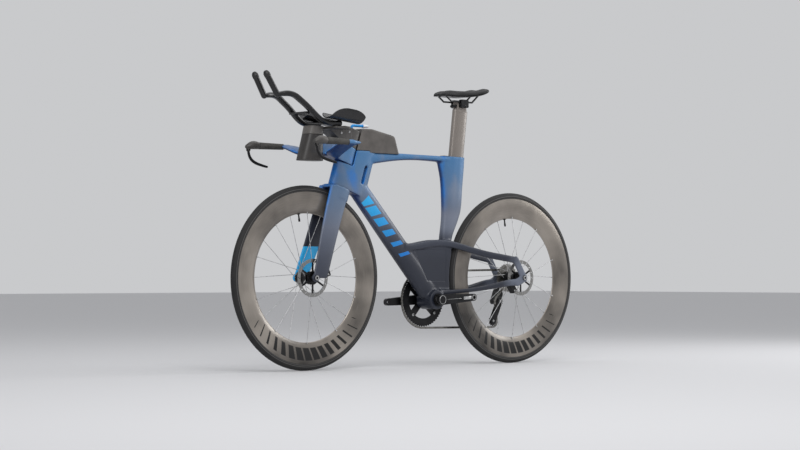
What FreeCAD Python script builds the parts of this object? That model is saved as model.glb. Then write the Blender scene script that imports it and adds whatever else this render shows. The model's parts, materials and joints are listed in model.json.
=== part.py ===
import FreeCAD
import Part
import math
import os

# A time trial bicycle, built as an assembly of separate pieces.
# +X is forward, +Y is the rider's left, +Z is up; the ground is Z = 0 and the
# origin lies midway between the two axles. Lengths are in mm, angles in degrees.

# Overall layout
tyre_radius = 339.0
tyre_width = 28.0
toe_clearance = 108.09
bracket_wheel_gap = 64.0
bracket_drop = 84.0
head_angle = 72.5
fork_rake = 45.0
crown_wheel_gap = 24.0
head_length = 95.0

# Clearances and cuts
running_gap = 0.06
seat_gap = 0.1
body_gap = 0.4
panel_gap = 0.3
cut_overrun = 6.0

# Tyre and rim
tyre_height = 23.0
rim_depth = 80.0
rim_width = 27.0
rim_side_shares = ((0.0, 0.90), (0.22, 1.0), (0.5, 0.92), (0.76, 0.66), (0.93, 0.32), (1.0, 0.0))
tyre_side_shares = ((0.0, 0.84), (0.36, 1.0), (0.74, 0.76), (0.94, 0.36), (1.0, 0.0))

# Hubs and spokes
hub_bore_radius = 6.0
hub_shell_radius = 12.5
hub_end_radius = 9.5
flange_radius = 24.0
flange_thickness = 9.0
spoke_radius = 1.1
spoke_anchor_radius = 20.0
spoke_line_offset = 2.2
spokes_per_set = 5
spoke_sweep = 42.0
front_hub_half = 50.0
front_left_flange = 23.0
front_right_flange = 32.0
front_rotor_offset = 39.0
rear_hub_half = 71.0
rear_left_flange = 33.0
rear_right_flange = 14.0
rear_rotor_offset = 56.0

# Brake rotors
rotor_radius = 70.0
rotor_band_width = 13.0
rotor_thickness = 1.8
rotor_carrier_radius = 25.0
rotor_boss_radius = 17.0
rotor_boss_overhang = 2.6
rotor_arm_width = 7.0
rotor_arm_share = 0.9
rotor_arms = 6
rotor_slots = 18
rotor_slot_length = 8.0
rotor_slot_width = 3.0
rotor_slot_tilt = 35.0

# Thru axles
axle_head_radius = 9.5
axle_head_length = 3.0
axle_bore_radius = 3.5

# Frame tubes
tube_fullness = 2.6
head_nose = 47.0
head_tail = 126.0
head_width = 52.0
head_slot_front = 80.0
head_slot_width = 14.0
head_slot_low = 46.0
head_slot_high = 118.0
bearing_seat_radius = 20.5
bearing_height = 8.0
steerer_radius = 14.3
head_bore_radius = 17.0
crown_swing_radius = 54.0
crown_swing_depth = 70.0
stem_swing_radius = 33.0
top_tube_above_head = 52.73
top_tube_fall = 4.0
top_tube_front_back = 23.4
top_tube_width = 42.0
top_tube_depth = 58.0
top_tube_shares = (
    (0.0, 1.0, 1.0), (0.16, 0.86, 1.0), (0.42, 0.5, 0.95), (0.8, 0.40, 0.9), (0.97, 0.42, 0.88))
down_tube_width = 46.0
down_tube_depth = 82.0
down_tube_top_up = 408.0
down_tube_top_back = 62.0
down_tube_foot_rise = 32.0
down_tube_foot_ahead = 16.0
down_tube_shares = ((0.0, 0.94), (0.3, 0.98), (0.65, 1.0), (1.0, 1.0))
seat_tube_chord = 92.0
seat_tube_width = 37.0
seat_tube_shares = (
    (1.0, 1.02, 0.43), (0.95, 0.99, 0.43), (0.87, 0.81, 0.44), (0.727, 0.61, 0.46),
    (0.62, 0.51, 0.48), (0.52, 0.47, 0.31), (0.42, 0.47, 0.11), (0.33, 0.44, 0.02))
wheel_cut_gap = 11.0
wheel_cut_width = 42.0
web_width = 38.0
web_rise = 212.0
web_front_ahead = 150.0
web_foot_ahead = 78.0
web_foot_rise = 44.0
bracket_shell_radius = 37.0
bracket_shell_width = 86.0
bracket_bore_radius = 20.5

# Stays and dropouts
stay_fullness = 2.8
seat_stay_height = 27.0
seat_stay_thickness = 14.5
seat_stay_front_ahead = 150.0
seat_stay_drop = 7.0
seat_stay_end_ahead = 44.0
seat_stay_end_rise = 70.0
seat_stay_spread = 71.0
seat_stay_shares = (
    (0.0, 0.26, 0.0), (0.22, 0.28, -0.16), (0.38, 0.32, -0.26), (0.47, 0.37, -0.13),
    (0.65, 0.58, 0.34), (0.84, 0.82, 0.73), (1.0, 0.99, 1.0))
chain_stay_height = 27.0
chain_stay_thickness = 14.5
chain_stay_rise = 28.0
chain_stay_shares = (
    (0.05, 0.40, 0.0, 1.0), (0.2, 0.41, 0.05, 0.66), (0.36, 0.52, 0.18, 0.62),
    (0.55, 0.70, 0.42, 0.7), (0.78, 0.88, 0.86, 0.93), (0.93, 0.99, 1.0, 0.96))
chain_stay_end_drop = 18.0
dropout_thickness = 8.0
dropout_radius = 18.0
dropout_arm_radius = 15.5
dropout_end_share = 0.08

# Storage panels in the web
panel_thickness = 2.0
panel_rim = 6.0
panel_top_drop = 20.0
panel_foot_rise = 72.0
panel_front_ahead = 100.0
panel_foot_ahead = 34.0
panel_rear_behind = 62.0
panel_front_share = 1.4
panel_foot_share = 0.5

# Seatpost and seat clamp
post_angle = 83.0
post_chord = 70.0
post_width = 29.0
post_fullness = 2.8
post_offset = 133.0
post_stick_out = 184.0
post_insert = 108.0
post_bore_extra = 52.0
clamp_cover_length = 34.0
clamp_cover_width = 20.0
clamp_cover_height = 2.2
clamp_cover_space = 8.0

# Saddle and its clamp
saddle_length = 236.0
saddle_nose_ahead = 128.0
saddle_width = 132.0
saddle_above_post = 52.4
pad_thickness = 22.0
pad_wing_rise = 26.0
pad_channel_depth = 6.0
pad_section_shares = ((1.0, 0.0), (0.98, 0.6), (0.62, 1.0))
saddle_shares = (
    (0.0, 0.24, 0.30, 0.0), (0.05, 0.38, 0.66, 0.02), (0.16, 0.46, 0.92, 0.03), (0.38, 0.50, 1.0, 0.02),
    (0.58, 0.66, 0.96, 0.08), (0.76, 0.90, 0.94, 0.26), (0.9, 1.0, 0.9, 0.62), (1.0, 0.86, 0.5, 1.0))
shell_thickness = 3.0
shell_inset = 3.0
shell_foot_share = 0.9
rail_radius = 3.5
rail_spread = 44.0
rail_drop = 20.0
rail_tail_share = 0.6
rail_front_ahead = 94.0
rail_rear_behind = 84.0
rail_flat_ahead = 66.0
rail_flat_behind = 44.0
post_head_length = 52.0
post_head_width = 30.0
clamp_ear_length = 40.0
clamp_ear_thickness = 5.0
clamp_ear_height = 16.0
clamp_ear_drop_share = 1.4
clamp_bolt_radius = 3.0

# Top tube box
box_width = 48.0
box_length = 230.0
box_rear_lean = 22.0
box_rear_height = 61.0
box_front_height = 83.0
box_shoulder_back = 96.0
box_heel_radius = 17.0
box_edge_radius = 7.0
box_wall = 2.4
lid_thickness = 3.2
lid_start = 18.0
lid_length = 92.0
lid_width = 36.0
lid_gap = 0.5
lid_barrel_radius = 2.6

# Fork
blade_thickness = 20.0
blade_top_chord = 96.0
blade_tip_chord = 66.0
blade_top_spread = 33.0
blade_tip_inner = 50.4
blade_tip_thickness = 12.0
blade_top_below = 9.2
blade_top_out = 17.1
blade_tip_back = 20.0
blade_tip_drop = 1.0
blade_fullness = 2.3
blade_shares = ((1.0, 1.0), (0.8, 0.95), (0.55, 0.72), (0.3, 0.38), (0.12, 0.1), (0.0, 0.0))
blade_extra_share = 0.045
fork_tip_radius = 15.0
crown_length = 98.0
crown_width = 88.0
crown_centre = 9.0
crown_depth = 44.0
crown_fullness = 2.8
fork_gap_share = 0.8
steerer_above_head = 58.0

# Brake calipers
caliper_length = 40.0
caliper_depth = 26.0
caliper_width = 24.0
caliper_reach = 64.0
front_caliper_angle = 158.0
rear_caliper_angle = -38.0
caliper_edge_radius = 4.0
pad_size = 17.0
brake_pad_thickness = 2.4
brake_pad_gap = 0.5

# Base bar, grips, hoods and levers
stem_gap = 0.6
stem_height = 66.0
stem_length = 125.0
stem_centre = 32.0
stem_width = 54.0
stem_fullness = 3.0
wing_span_half = 190.0
wing_above_stem = 32.16
wing_rise = 35.0
wing_root_ahead = 104.8
wing_root_chord = 62.0
wing_sweep = 54.0
wing_thickness = 20.0
wing_fullness = 2.4
wing_shares = (
    (0.0, 0.0, 0.0, 1.0, 1.0), (0.16, 0.02, -0.06, 1.0, 1.0), (0.32, 0.58, 0.0, 1.22, 0.95),
    (0.54, 0.90, 0.26, 1.25, 0.9), (0.77, 1.0, 0.70, 1.25, 0.85), (0.92, 0.96, 0.94, 1.25, 0.78),
    (1.0, 0.82, 1.0, 1.2, 0.6))
horn_radius = 9.0
horn_start_ahead = 113.8
horn_end_ahead = 290.8
horn_tail_length = 30.0
horn_tail_radius = 3.0
horn_toe_out = 13.0
grip_start_ahead = 140.8
grip_end_ahead = 246.8
grip_rear_radius = 11.0
grip_front_radius = 13.0
hood_tip_ahead = 304.8
hood_shares = (
    (0.0, 0.94, 0.0), (0.25, 1.10, 0.12), (0.5, 1.12, 0.10), (0.75, 0.92, -0.12), (1.0, 0.42, -0.40))
hood_radius = 13.5
hood_clevis_width = 9.0
lever_width = 8.0
lever_pivot_ahead = 292.8
lever_pivot_drop = 17.0
lever_pin_radius = 2.5
lever_lug_radius = 6.0
lever_reach_back = 88.0
lever_drop = 60.0
lever_depth = 10.0
lever_shares = (
    (0.0, 0.0, 0.9), (0.03, 0.28, 1.0), (0.14, 0.56, 1.1), (0.34, 0.76, 1.1), (0.65, 0.90, 1.0),
    (1.0, 1.0, 0.8))

# Aerobar riser, extensions and armrests
riser_height = 68.0
riser_length = 80.0
riser_centre = 10.0
riser_width = 48.0
plate_front_ahead = 104.8
plate_rear_ahead = 30.8
plate_half_span = 78.0
plate_proud = 3.35
plate_thickness = 10.0
gusset_width = 60.0
gusset_rear_back = 11.2
arm_spread = 61.0
arm_rear_ahead = 70.8
arm_bend_ahead = 132.8
arm_width = 26.0
arm_depth = 20.0
arm_crest_ahead = 288.8
arm_crest_rise = 107.0
arm_crest_spread = 50.0
arm_elbow_ahead = 344.8
arm_elbow_rise = 103.0
arm_elbow_spread = 39.0
arm_elbow_share = 0.95
arm_fullness = 2.6
arm_shares = ((0.1, 0.05, 0.1), (0.45, 0.44, 0.45), (0.75, 0.80, 0.75), (0.9, 0.95, 0.9), (1.0, 1.0, 1.0))
grip_post_radius = 11.0
grip_tip_ahead = 383.8
grip_tip_rise = 166.0
grip_tip_spread = 35.0
pod_radius = 12.0
pod_length = 20.0
pod_straight_share = 0.6
pod_nose_radius = 8.0
button_radius = 6.0
button_length = 8.0
button_proud = 2.2
button_well = 9.0
bridge_front_ahead = 220.8
bridge_rear_ahead = 182.8
bridge_rise = 41.0
bridge_reach_share = 0.4
bridge_thickness = 7.0
bridge_hole_radius = 1.6
bridge_hole_spacing = 22.0
cup_length = 150.0
cup_rear_ahead = 0.8
cup_width = 92.0
cup_spread = 84.0
cup_wall = 3.5
cup_outer_height = 40.0
cup_fullness = 2.2
cup_outline_share = 1.04
cup_crest_share = 0.47
cup_outer_turn = -4.0
cup_inner_turn = -148.0
cup_tilt = 6.0
rest_pad_thickness = 11.0
rest_pad_margin = 12.0
rest_pad_sweep_share = 0.8
rest_pad_edge_share = 0.4
rest_pad_shares = (
    (0.0, 0.5, 0.72), (0.08, 0.86, 0.82), (0.5, 1.0, 0.84), (0.92, 0.86, 0.82), (1.0, 0.5, 0.72))

# Hydration bottle and straw
bottle_rear_ahead = 111.8
bottle_width = 62.0
bottle_height = 128.0
bottle_nose_ahead = 217.8
bottle_top_ahead = 180.8
bottle_lid_height = 30.0
bottle_mount_length = 48.0
bottle_mount_width = 34.0
bottle_mount_height = 44.0
bottle_mount_sink = 4.0
straw_radius = 5.0
straw_bore_radius = 3.2
straw_bend_radius = 10.0
straw_base_back = 6.0
straw_rise = 16.0
straw_run = 44.0
valve_radius = 7.0
valve_length = 26.0
valve_tip_radius = 4.6

# Drivetrain
chain_pitch = 12.7
chain_line = 44.0
ring_teeth = 54
ride_cog_teeth = 16
pulley_teeth = 12
cog_teeth = (11, 12, 13, 14, 15, 16, 17, 19, 21, 24, 27, 30)
cog_spacing = 3.7
cog_thickness = 1.6
cog_sleeve_radius = 14.5
hub_sleeve_radius = 10.0
roller_radius = 3.85
tooth_clear = 0.35
tooth_height = 3.0
tooth_tip_share = 0.16
tooth_root_share = 0.34
link_plate_half = 4.0
link_plate_thickness = 0.65
link_plate_gap = 0.1
link_inner_half = 1.1
pin_radius = 1.6
pin_gap = 0.25
ring_thickness = 3.0
ring_band = 26.0
guide_pulley_behind = -22.0
guide_pulley_drop = 94.0
tension_pulley_behind = -60.0
tension_pulley_drop = 172.0
pulley_thickness = 1.6
pulley_hub_radius = 8.0
pulley_pin_radius = 3.0
cage_gap = 4.0
cage_thickness = 2.0
cage_radius = 13.0
hanger_drop = 30.0
hanger_behind = 8.0
hanger_radius = 10.0
hanger_thickness = 6.0
mech_radius = 15.0
mech_width = 17.0
mech_knee_share = 0.55
mech_out_share = 0.6
mech_step_share = 0.2
knuckle_share = 0.75
parallel_share = 0.85
battery_length = 30.0
battery_height = 20.0
battery_width = 14.0
battery_back_share = 1.1

# Crankset
crank_length = 165.0
crank_tilt = 3.0
crank_inner = 57.0
crank_thickness = 14.0
crank_boss_radius = 20.0
crank_end_radius = 13.5
spindle_radius = 14.5
pedal_hole_radius = 7.14
spider_radius = 86.0
spider_thickness = 6.0
spider_arm_width = 26.0
spider_arms = 4
cup_flange_radius = 24.0
cup_flange_length = 4.0

# Number of points in each oval outline
oval_points = 20

# Places worked out from the layout
rim_bed_radius = tyre_radius - tyre_height
crown_height = tyre_radius + crown_wheel_gap
chainstay_length = tyre_radius + bracket_wheel_gap + bracket_shell_radius
bracket_run = math.sqrt(chainstay_length ** 2 - bracket_drop ** 2)
wheelbase = bracket_run + crank_length + toe_clearance + tyre_radius
seat_stay_front_rise = web_rise - seat_stay_drop
panel_height = web_rise - panel_top_drop - panel_foot_rise
front_axle = FreeCAD.Vector(wheelbase / 2, 0, tyre_radius)
rear_axle = FreeCAD.Vector(-wheelbase / 2, 0, tyre_radius)
bracket = rear_axle + FreeCAD.Vector(bracket_run, 0, -bracket_drop)
steer_lean = math.radians(head_angle)
steer_up = FreeCAD.Vector(-math.cos(steer_lean), 0, math.sin(steer_lean))
steer_ahead = FreeCAD.Vector(steer_up.z, 0, -steer_up.x)
steer_foot = front_axle - steer_ahead * fork_rake
head_top = crown_height + head_length
stem_base = head_top + stem_gap
stem_top = stem_base + stem_height
across = FreeCAD.Vector(0, 1, 0)
ahead = FreeCAD.Vector(1, 0, 0)
upward = FreeCAD.Vector(0, 0, 1)


def vec(x, y, z):
    return FreeCAD.Vector(x, y, z)


def on_steer(up, out, side=0):
    """Point given along the steering axis, ahead of it and to its side."""
    return steer_foot + steer_up * up + steer_ahead * out + across * side


# Heights and places of the top tube, its box, the fork and the handlebar,
# all carried by the head tube
head_crest = on_steer(head_top, 0)
top_tube_height = head_crest.z + top_tube_above_head
top_tube_front_x = head_crest.x - top_tube_front_back
box_rear_x = top_tube_front_x - box_length
box_shoulder_x = top_tube_front_x - box_shoulder_back
blade_top = on_steer(crown_height - blade_top_below, blade_top_out)
blade_tip = front_axle - vec(blade_tip_back, 0, blade_tip_drop)
bar_foot = on_steer(stem_base, 0)
wing_height = bar_foot.z + wing_above_stem
wing_root_lead = bar_foot.x + wing_root_ahead
horn_height = wing_height + wing_rise
horn_start_x = bar_foot.x + horn_start_ahead
horn_end_x = bar_foot.x + horn_end_ahead
grip_start_x = bar_foot.x + grip_start_ahead
grip_end_x = bar_foot.x + grip_end_ahead
hood_tip_x = bar_foot.x + hood_tip_ahead
lever_pivot_x = bar_foot.x + lever_pivot_ahead
plate_top_z = on_steer(stem_top + riser_height, riser_centre).z + plate_proud
plate_front_x = bar_foot.x + plate_front_ahead
plate_rear_x = bar_foot.x + plate_rear_ahead
gusset_rear_x = bar_foot.x - gusset_rear_back
arm_level = plate_top_z + arm_depth / 2
arm_rear_x = bar_foot.x + arm_rear_ahead
arm_bend_x = bar_foot.x + arm_bend_ahead
arm_crest_x = bar_foot.x + arm_crest_ahead
arm_crest_z = plate_top_z + arm_crest_rise
arm_elbow = vec(bar_foot.x + arm_elbow_ahead, arm_elbow_spread, plate_top_z + arm_elbow_rise)
grip_tip = vec(bar_foot.x + grip_tip_ahead, grip_tip_spread, plate_top_z + grip_tip_rise)
bridge_front_x = bar_foot.x + bridge_front_ahead
bridge_rear_x = bar_foot.x + bridge_rear_ahead
bridge_height = plate_top_z + bridge_rise
cup_rear_x = bar_foot.x + cup_rear_ahead
cup_radius = cup_width / 2
cup_floor = plate_top_z + arm_depth
bottle_rear_x = bar_foot.x + bottle_rear_ahead
bottle_nose_x = bar_foot.x + bottle_nose_ahead
bottle_top_x = bar_foot.x + bottle_top_ahead
bottle_bottom_z = plate_top_z - bottle_height


def oval(centre, long_dir, cross_dir, length, width, fullness):
    """Closed smooth outline, from an ellipse (2) towards a rectangle (more)."""
    points = []
    for k in range(oval_points):
        turn = 2 * math.pi * (k + 0.5) / oval_points
        c, s = math.cos(turn), math.sin(turn)
        u = math.copysign(abs(c) ** (2 / fullness), c) * length / 2
        v = math.copysign(abs(s) ** (2 / fullness), s) * width / 2
        points.append(centre + long_dir * u + cross_dir * v)
    curve = Part.BSplineCurve()
    curve.interpolate(Points=points, PeriodicFlag=True)
    return Part.Wire([curve.toShape()])


def loft(wires):
    return Part.makeLoft(wires, True, False)


def block_along(centre, long_dir, length, width, fullness, path):
    """Oval outline pushed along a straight path."""
    return Part.Face(oval(centre, long_dir, across, length, width, fullness)).extrude(path)


def tube_through(points, depths, widths, fullness):
    """Tube with oval sections square to a path lying mostly in the X-Z plane."""
    wires = []
    last = len(points) - 1
    for k, point in enumerate(points):
        run = points[min(k + 1, last)] - points[max(k - 1, 0)]
        flat = vec(run.x, 0, run.z).normalize()
        wires.append(oval(point, vec(-flat.z, 0, flat.x), across, depths[k], widths[k], fullness))
    return loft(wires)


def rod(start, end, radius):
    run = end - start
    return Part.makeCylinder(radius, run.Length, start, run)


def pipe(start, end, outer, inner):
    return rod(start, end, outer).cut(rod(start, end, inner))


def prism(corners, right, left):
    """Outline of (x, z) corners pushed from one side plane to the other."""
    loop = [vec(x, right, z) for x, z in corners]
    return Part.Face(Part.makePolygon(loop + loop[:1])).extrude(vec(0, left - right, 0))


def capsule(start, end, radius, right, left):
    """Round-ended bar between two X-Z points, pushed across the bike."""
    low = vec(start.x, right, start.z)
    high = vec(end.x, right, end.z)
    run = (high - low).normalize()
    side = vec(-run.z, 0, run.x) * radius
    tip = run * radius
    edges = [
        Part.makeLine(low + side, high + side),
        Part.Arc(high + side, high + tip, high - side).toShape(),
        Part.makeLine(high - side, low - side),
        Part.Arc(low - side, low - tip, low + side).toShape()]
    return Part.Face(Part.Wire(edges)).extrude(vec(0, left - right, 0))


def spun(outline):
    """Closed (side, radius) outline turned about the Y axis."""
    loop = [vec(0, y, r) for y, r in outline]
    return Part.Face(Part.makePolygon(loop + loop[:1])).revolve(vec(0, 0, 0), across, 360)


def disc(centre, radius, right, left):
    return Part.makeCylinder(radius, left - right, vec(centre.x, right, centre.z), across)


def mirrored(shape):
    return shape.mirror(vec(0, 0, 0), across)


def rounded(shape, radius, wanted):
    """Fillet on the edges that the test picks."""
    return shape.makeFillet(radius, [edge for edge in shape.Edges if wanted(edge)])


def runs_along(direction):
    def test(edge):
        if len(edge.Vertexes) < 2:
            return False
        run = edge.Vertexes[-1].Point - edge.Vertexes[0].Point
        return run.Length > 0 and abs(run.normalize().dot(direction)) > 0.999
    return test


def save(name, solids):
    shape = solids[0] if len(solids) == 1 else Part.makeCompound(solids)
    flat = [solid for item in solids for solid in item.Solids]
    state = "ok" if shape.isValid() else "NOT VALID"
    print(name, len(flat), "solids", round(shape.Volume / 1000, 2), "cm3", state)
    shape.exportStep("parts/" + name + ".step")


def toothed(teeth, thickness, middle):
    """Sprocket blank whose tips stop just short of the chain's rollers."""
    tip = chain_pitch / (2 * math.sin(math.pi / teeth)) - roller_radius - tooth_clear
    points = []
    for k in range(teeth):
        for share, radius in ((-tooth_root_share, tip - tooth_height), (-tooth_tip_share, tip),
                              (tooth_tip_share, tip), (tooth_root_share, tip - tooth_height)):
            turn = 2 * math.pi * (k + share) / teeth
            points.append(vec(radius * math.cos(turn), middle - thickness / 2, radius * math.sin(turn)))
    return Part.Face(Part.makePolygon(points + points[:1])).extrude(vec(0, thickness, 0))


# Wheels
def side_profile(base_radius, height, half_width, shares):
    """Round nose from a flat bed, as a solid turned about the axle."""
    points = [vec(0, -half_width * w, base_radius + height * d) for d, w in shares]
    points += [vec(0, half_width * w, base_radius + height * d) for d, w in reversed(shares[:-1])]
    curve = Part.BSplineCurve()
    curve.interpolate(points)
    face = Part.Face(Part.Wire([curve.toShape(), Part.makeLine(points[-1], points[0])]))
    return face.revolve(vec(0, 0, 0), across, 360)


def make_rotor(offset):
    flat = rotor_thickness / 2
    centre = vec(0, 0, 0)
    band = disc(centre, rotor_radius, offset - flat, offset + flat)
    band = band.cut(disc(centre, rotor_radius - rotor_band_width, offset - flat, offset + flat))
    middle = rotor_radius - rotor_band_width / 2
    half = rotor_slot_length / 2
    slots = []
    for k in range(rotor_slots):
        lean = math.radians(rotor_slot_tilt)
        low = vec(middle - half * math.cos(lean), 0, -half * math.sin(lean))
        high = vec(middle + half * math.cos(lean), 0, half * math.sin(lean))
        slot = capsule(low, high, rotor_slot_width / 2, offset - cut_overrun, offset + cut_overrun)
        slots.append(slot.rotate(vec(0, 0, 0), across, 360 * k / rotor_slots))
    band = band.cut(Part.makeCompound(slots))
    arms = [disc(centre, rotor_carrier_radius, offset - flat, offset + flat)]
    for k in range(rotor_arms):
        reach = rotor_radius - rotor_band_width * rotor_arm_share
        corner = vec(0, offset - flat, -rotor_arm_width / 2)
        arm = Part.makeBox(reach, rotor_thickness, rotor_arm_width, corner)
        arms.append(arm.rotate(vec(0, 0, 0), across, 360 * (k + 0.5) / rotor_arms))
    boss = disc(centre, rotor_boss_radius + seat_gap, offset - cut_overrun, offset + cut_overrun)
    return band.fuse(arms).removeSplitter().cut(boss)


def make_spokes(left_flange, right_flange, rim, hub):
    spokes = []
    reach = rim_bed_radius - rim_depth / 2
    step = 360 / (4 * spokes_per_set)
    for set_number, (side, sense) in enumerate(((1, 1), (-1, 1), (1, -1), (-1, -1))):
        flange = left_flange if side > 0 else -right_flange
        start = vec(0, flange + sense * spoke_line_offset, spoke_anchor_radius)
        lean = math.radians(sense * spoke_sweep)
        end = vec(reach * math.sin(lean), 0, reach * math.cos(lean))
        first = rod(start, end, spoke_radius).cut(rim).cut(hub)
        first = max(first.Solids, key=lambda solid: solid.Volume)
        base_turn = step * set_number - sense * spoke_sweep
        for k in range(spokes_per_set):
            spokes.append(first.copy().rotate(vec(0, 0, 0), across, base_turn + 360 * k / spokes_per_set))
    return spokes


def make_hub(half, left_flange, right_flange, rotor_offset, right_sleeve):
    """Hub shell with two flanges, a rotor boss and end caps, bored for its axle."""
    bore = hub_bore_radius + running_gap
    thick = flange_thickness / 2
    boss_end = rotor_offset + rotor_boss_overhang
    outline = [
        (-half + body_gap, bore), (-half + body_gap, right_sleeve), (-right_flange - thick, right_sleeve),
        (-right_flange - thick, flange_radius), (-right_flange + thick, flange_radius),
        (-right_flange + thick * 2, hub_shell_radius), (left_flange - thick * 2, hub_shell_radius),
        (left_flange - thick, flange_radius), (left_flange + thick, flange_radius),
        (left_flange + thick, rotor_boss_radius), (boss_end, rotor_boss_radius),
        (boss_end, hub_end_radius), (half - body_gap, hub_end_radius), (half - body_gap, bore)]
    return spun(outline)


def save_wheel(prefix, axle, half, left_flange, right_flange, rotor_offset, right_sleeve):
    rim = side_profile(rim_bed_radius, -rim_depth, rim_width / 2, rim_side_shares)
    tyre = side_profile(rim_bed_radius, tyre_radius - rim_bed_radius, tyre_width / 2, tyre_side_shares)
    hub = make_hub(half, left_flange, right_flange, rotor_offset, right_sleeve)
    spokes = make_spokes(left_flange, right_flange, rim, hub)
    rotor = make_rotor(rotor_offset)
    save(prefix + "_rim", [rim.translate(axle)])
    save(prefix + "_tyre", [tyre.translate(axle)])
    save(prefix + "_hub", [hub.translate(axle)])
    save(prefix + "_rotor", [rotor.translate(axle)])
    save(prefix + "_spokes", [spoke.translate(axle) for spoke in spokes])


def make_thru_axle(axle, half, wall):
    """Hollow axle with a flush head on the left."""
    low = axle - across * (half + wall)
    high = axle + across * (half + wall)
    pin = rod(low, high + across * axle_head_length, hub_bore_radius)
    head = rod(high + across * seat_gap, high + across * axle_head_length, axle_head_radius)
    hole = rod(low - across * cut_overrun, high + across * (axle_head_length + cut_overrun), axle_bore_radius)
    return pin.fuse(head).removeSplitter().cut(hole)


# Frame
post_lean = math.radians(post_angle)
post_up = vec(-math.cos(post_lean), 0, math.sin(post_lean))
post_ahead = vec(post_up.z, 0, -post_up.x)
post_mouth = vec(bracket.x - post_offset, 0, top_tube_height - top_tube_fall)


def head_section():
    length = head_nose + head_tail
    centre = on_steer(crown_height, (head_nose - head_tail) / 2)
    return block_along(centre, steer_ahead, length, head_width, tube_fullness, steer_up * (head_length * 2))


def top_tube():
    wires = []
    run = top_tube_front_x - post_mouth.x
    for along, deep, wide in top_tube_shares:
        depth = top_tube_depth * deep
        top = top_tube_height - top_tube_fall * along
        middle = vec(top_tube_front_x - run * along, 0, top - depth / 2)
        wires.append(oval(middle, upward, across, depth, top_tube_width * wide, stay_fullness))
    return loft(wires)


def down_tube():
    start = on_steer(down_tube_top_up, -down_tube_top_back)
    end = bracket + vec(down_tube_foot_ahead, 0, down_tube_foot_rise)
    run = end - start
    line = vec(run.x, 0, run.z).normalize()
    square = vec(-line.z, 0, line.x)
    wires = []
    for along, size in down_tube_shares:
        middle = start + run * along
        depth = down_tube_depth * size
        wires.append(oval(middle, square, across, depth, down_tube_width * size, tube_fullness))
    return loft(wires)


def seat_tube():
    wires = []
    height = post_mouth.z - bracket.z
    for level, front, rear in seat_tube_shares:
        z = bracket.z + height * level
        axis_x = post_mouth.x + (post_mouth.z - z) * math.cos(post_lean) / math.sin(post_lean)
        chord = seat_tube_chord * (front + rear)
        middle = vec(axis_x + seat_tube_chord * (front - rear) / 2, 0, z)
        wires.append(oval(middle, ahead, across, chord, seat_tube_width, tube_fullness))
    return loft(wires)


def web():
    rear_x = rear_axle.x + tyre_radius
    corners = [
        (bracket.x + web_front_ahead, bracket.z + web_rise), (rear_x, bracket.z + web_rise),
        (rear_x, bracket.z + web_foot_rise / 2), (bracket.x, bracket.z),
        (bracket.x + web_foot_ahead, bracket.z + web_foot_rise)]
    return prism(corners, -web_width / 2, web_width / 2)


def left_seat_stay():
    start = bracket + vec(seat_stay_front_ahead, 0, seat_stay_front_rise)
    end = rear_axle + vec(seat_stay_end_ahead, 0, seat_stay_end_rise)
    wires = []
    for along, wide, fall in seat_stay_shares:
        middle = vec(start.x + (end.x - start.x) * along, seat_stay_spread * wide,
                     start.z + (end.z - start.z) * fall)
        wires.append(oval(middle, upward, across, seat_stay_height, seat_stay_thickness, stay_fullness))
    return loft(wires)


def left_chain_stay():
    start = bracket + vec(0, 0, chain_stay_rise)
    end = rear_axle - vec(0, 0, chain_stay_end_drop)
    wires = []
    for along, wide, rise, size in chain_stay_shares:
        middle = vec(start.x + (end.x - start.x) * along, seat_stay_spread * wide,
                     start.z + (end.z - start.z) * rise)
        height = chain_stay_height * size
        wires.append(oval(middle, upward, across, height, chain_stay_thickness, stay_fullness))
    return loft(wires)


def make_dropouts():
    """Plates let into the stay ends, bored for the rear axle."""
    inner = rear_hub_half
    outer = inner + dropout_thickness
    stay_end = rear_axle + vec(seat_stay_end_ahead, 0, seat_stay_end_rise)
    chain_end = rear_axle + vec(bracket_run * dropout_end_share, 0, -chain_stay_end_drop)
    upper = capsule(rear_axle, stay_end, dropout_arm_radius, inner, outer)
    lower = capsule(rear_axle, chain_end, dropout_arm_radius, inner, outer)
    plate = upper.fuse([lower, disc(rear_axle, dropout_radius, inner, outer)]).removeSplitter()
    hole = disc(rear_axle, hub_bore_radius + running_gap, inner - cut_overrun, outer + cut_overrun)
    left = plate.cut(hole)
    return [left, mirrored(left)]


def panel_corners(inset):
    top = bracket.z + web_rise - panel_top_drop - inset
    low = top - panel_height + 2 * inset
    front = bracket.x + panel_front_ahead - inset * panel_front_share
    foot = bracket.x + panel_foot_ahead - inset * panel_foot_share
    rear = bracket.x - panel_rear_behind + inset
    return [(front, top), (rear, top), (rear, low), (foot, low)]


def stem_space():
    """Room for the stem to turn in, above the head tube."""
    run = steer_up * (head_length * 2)
    turning = rod(on_steer(head_top, 0), on_steer(head_top, 0) + run, stem_swing_radius)
    front = Part.makeBox(head_nose * 4, head_width * 2, head_length * 2, vec(0, -head_width, 0))
    front.Placement = FreeCAD.Placement(on_steer(head_top, 0), FreeCAD.Rotation(ahead, steer_ahead))
    return turning.fuse(front)


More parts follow.
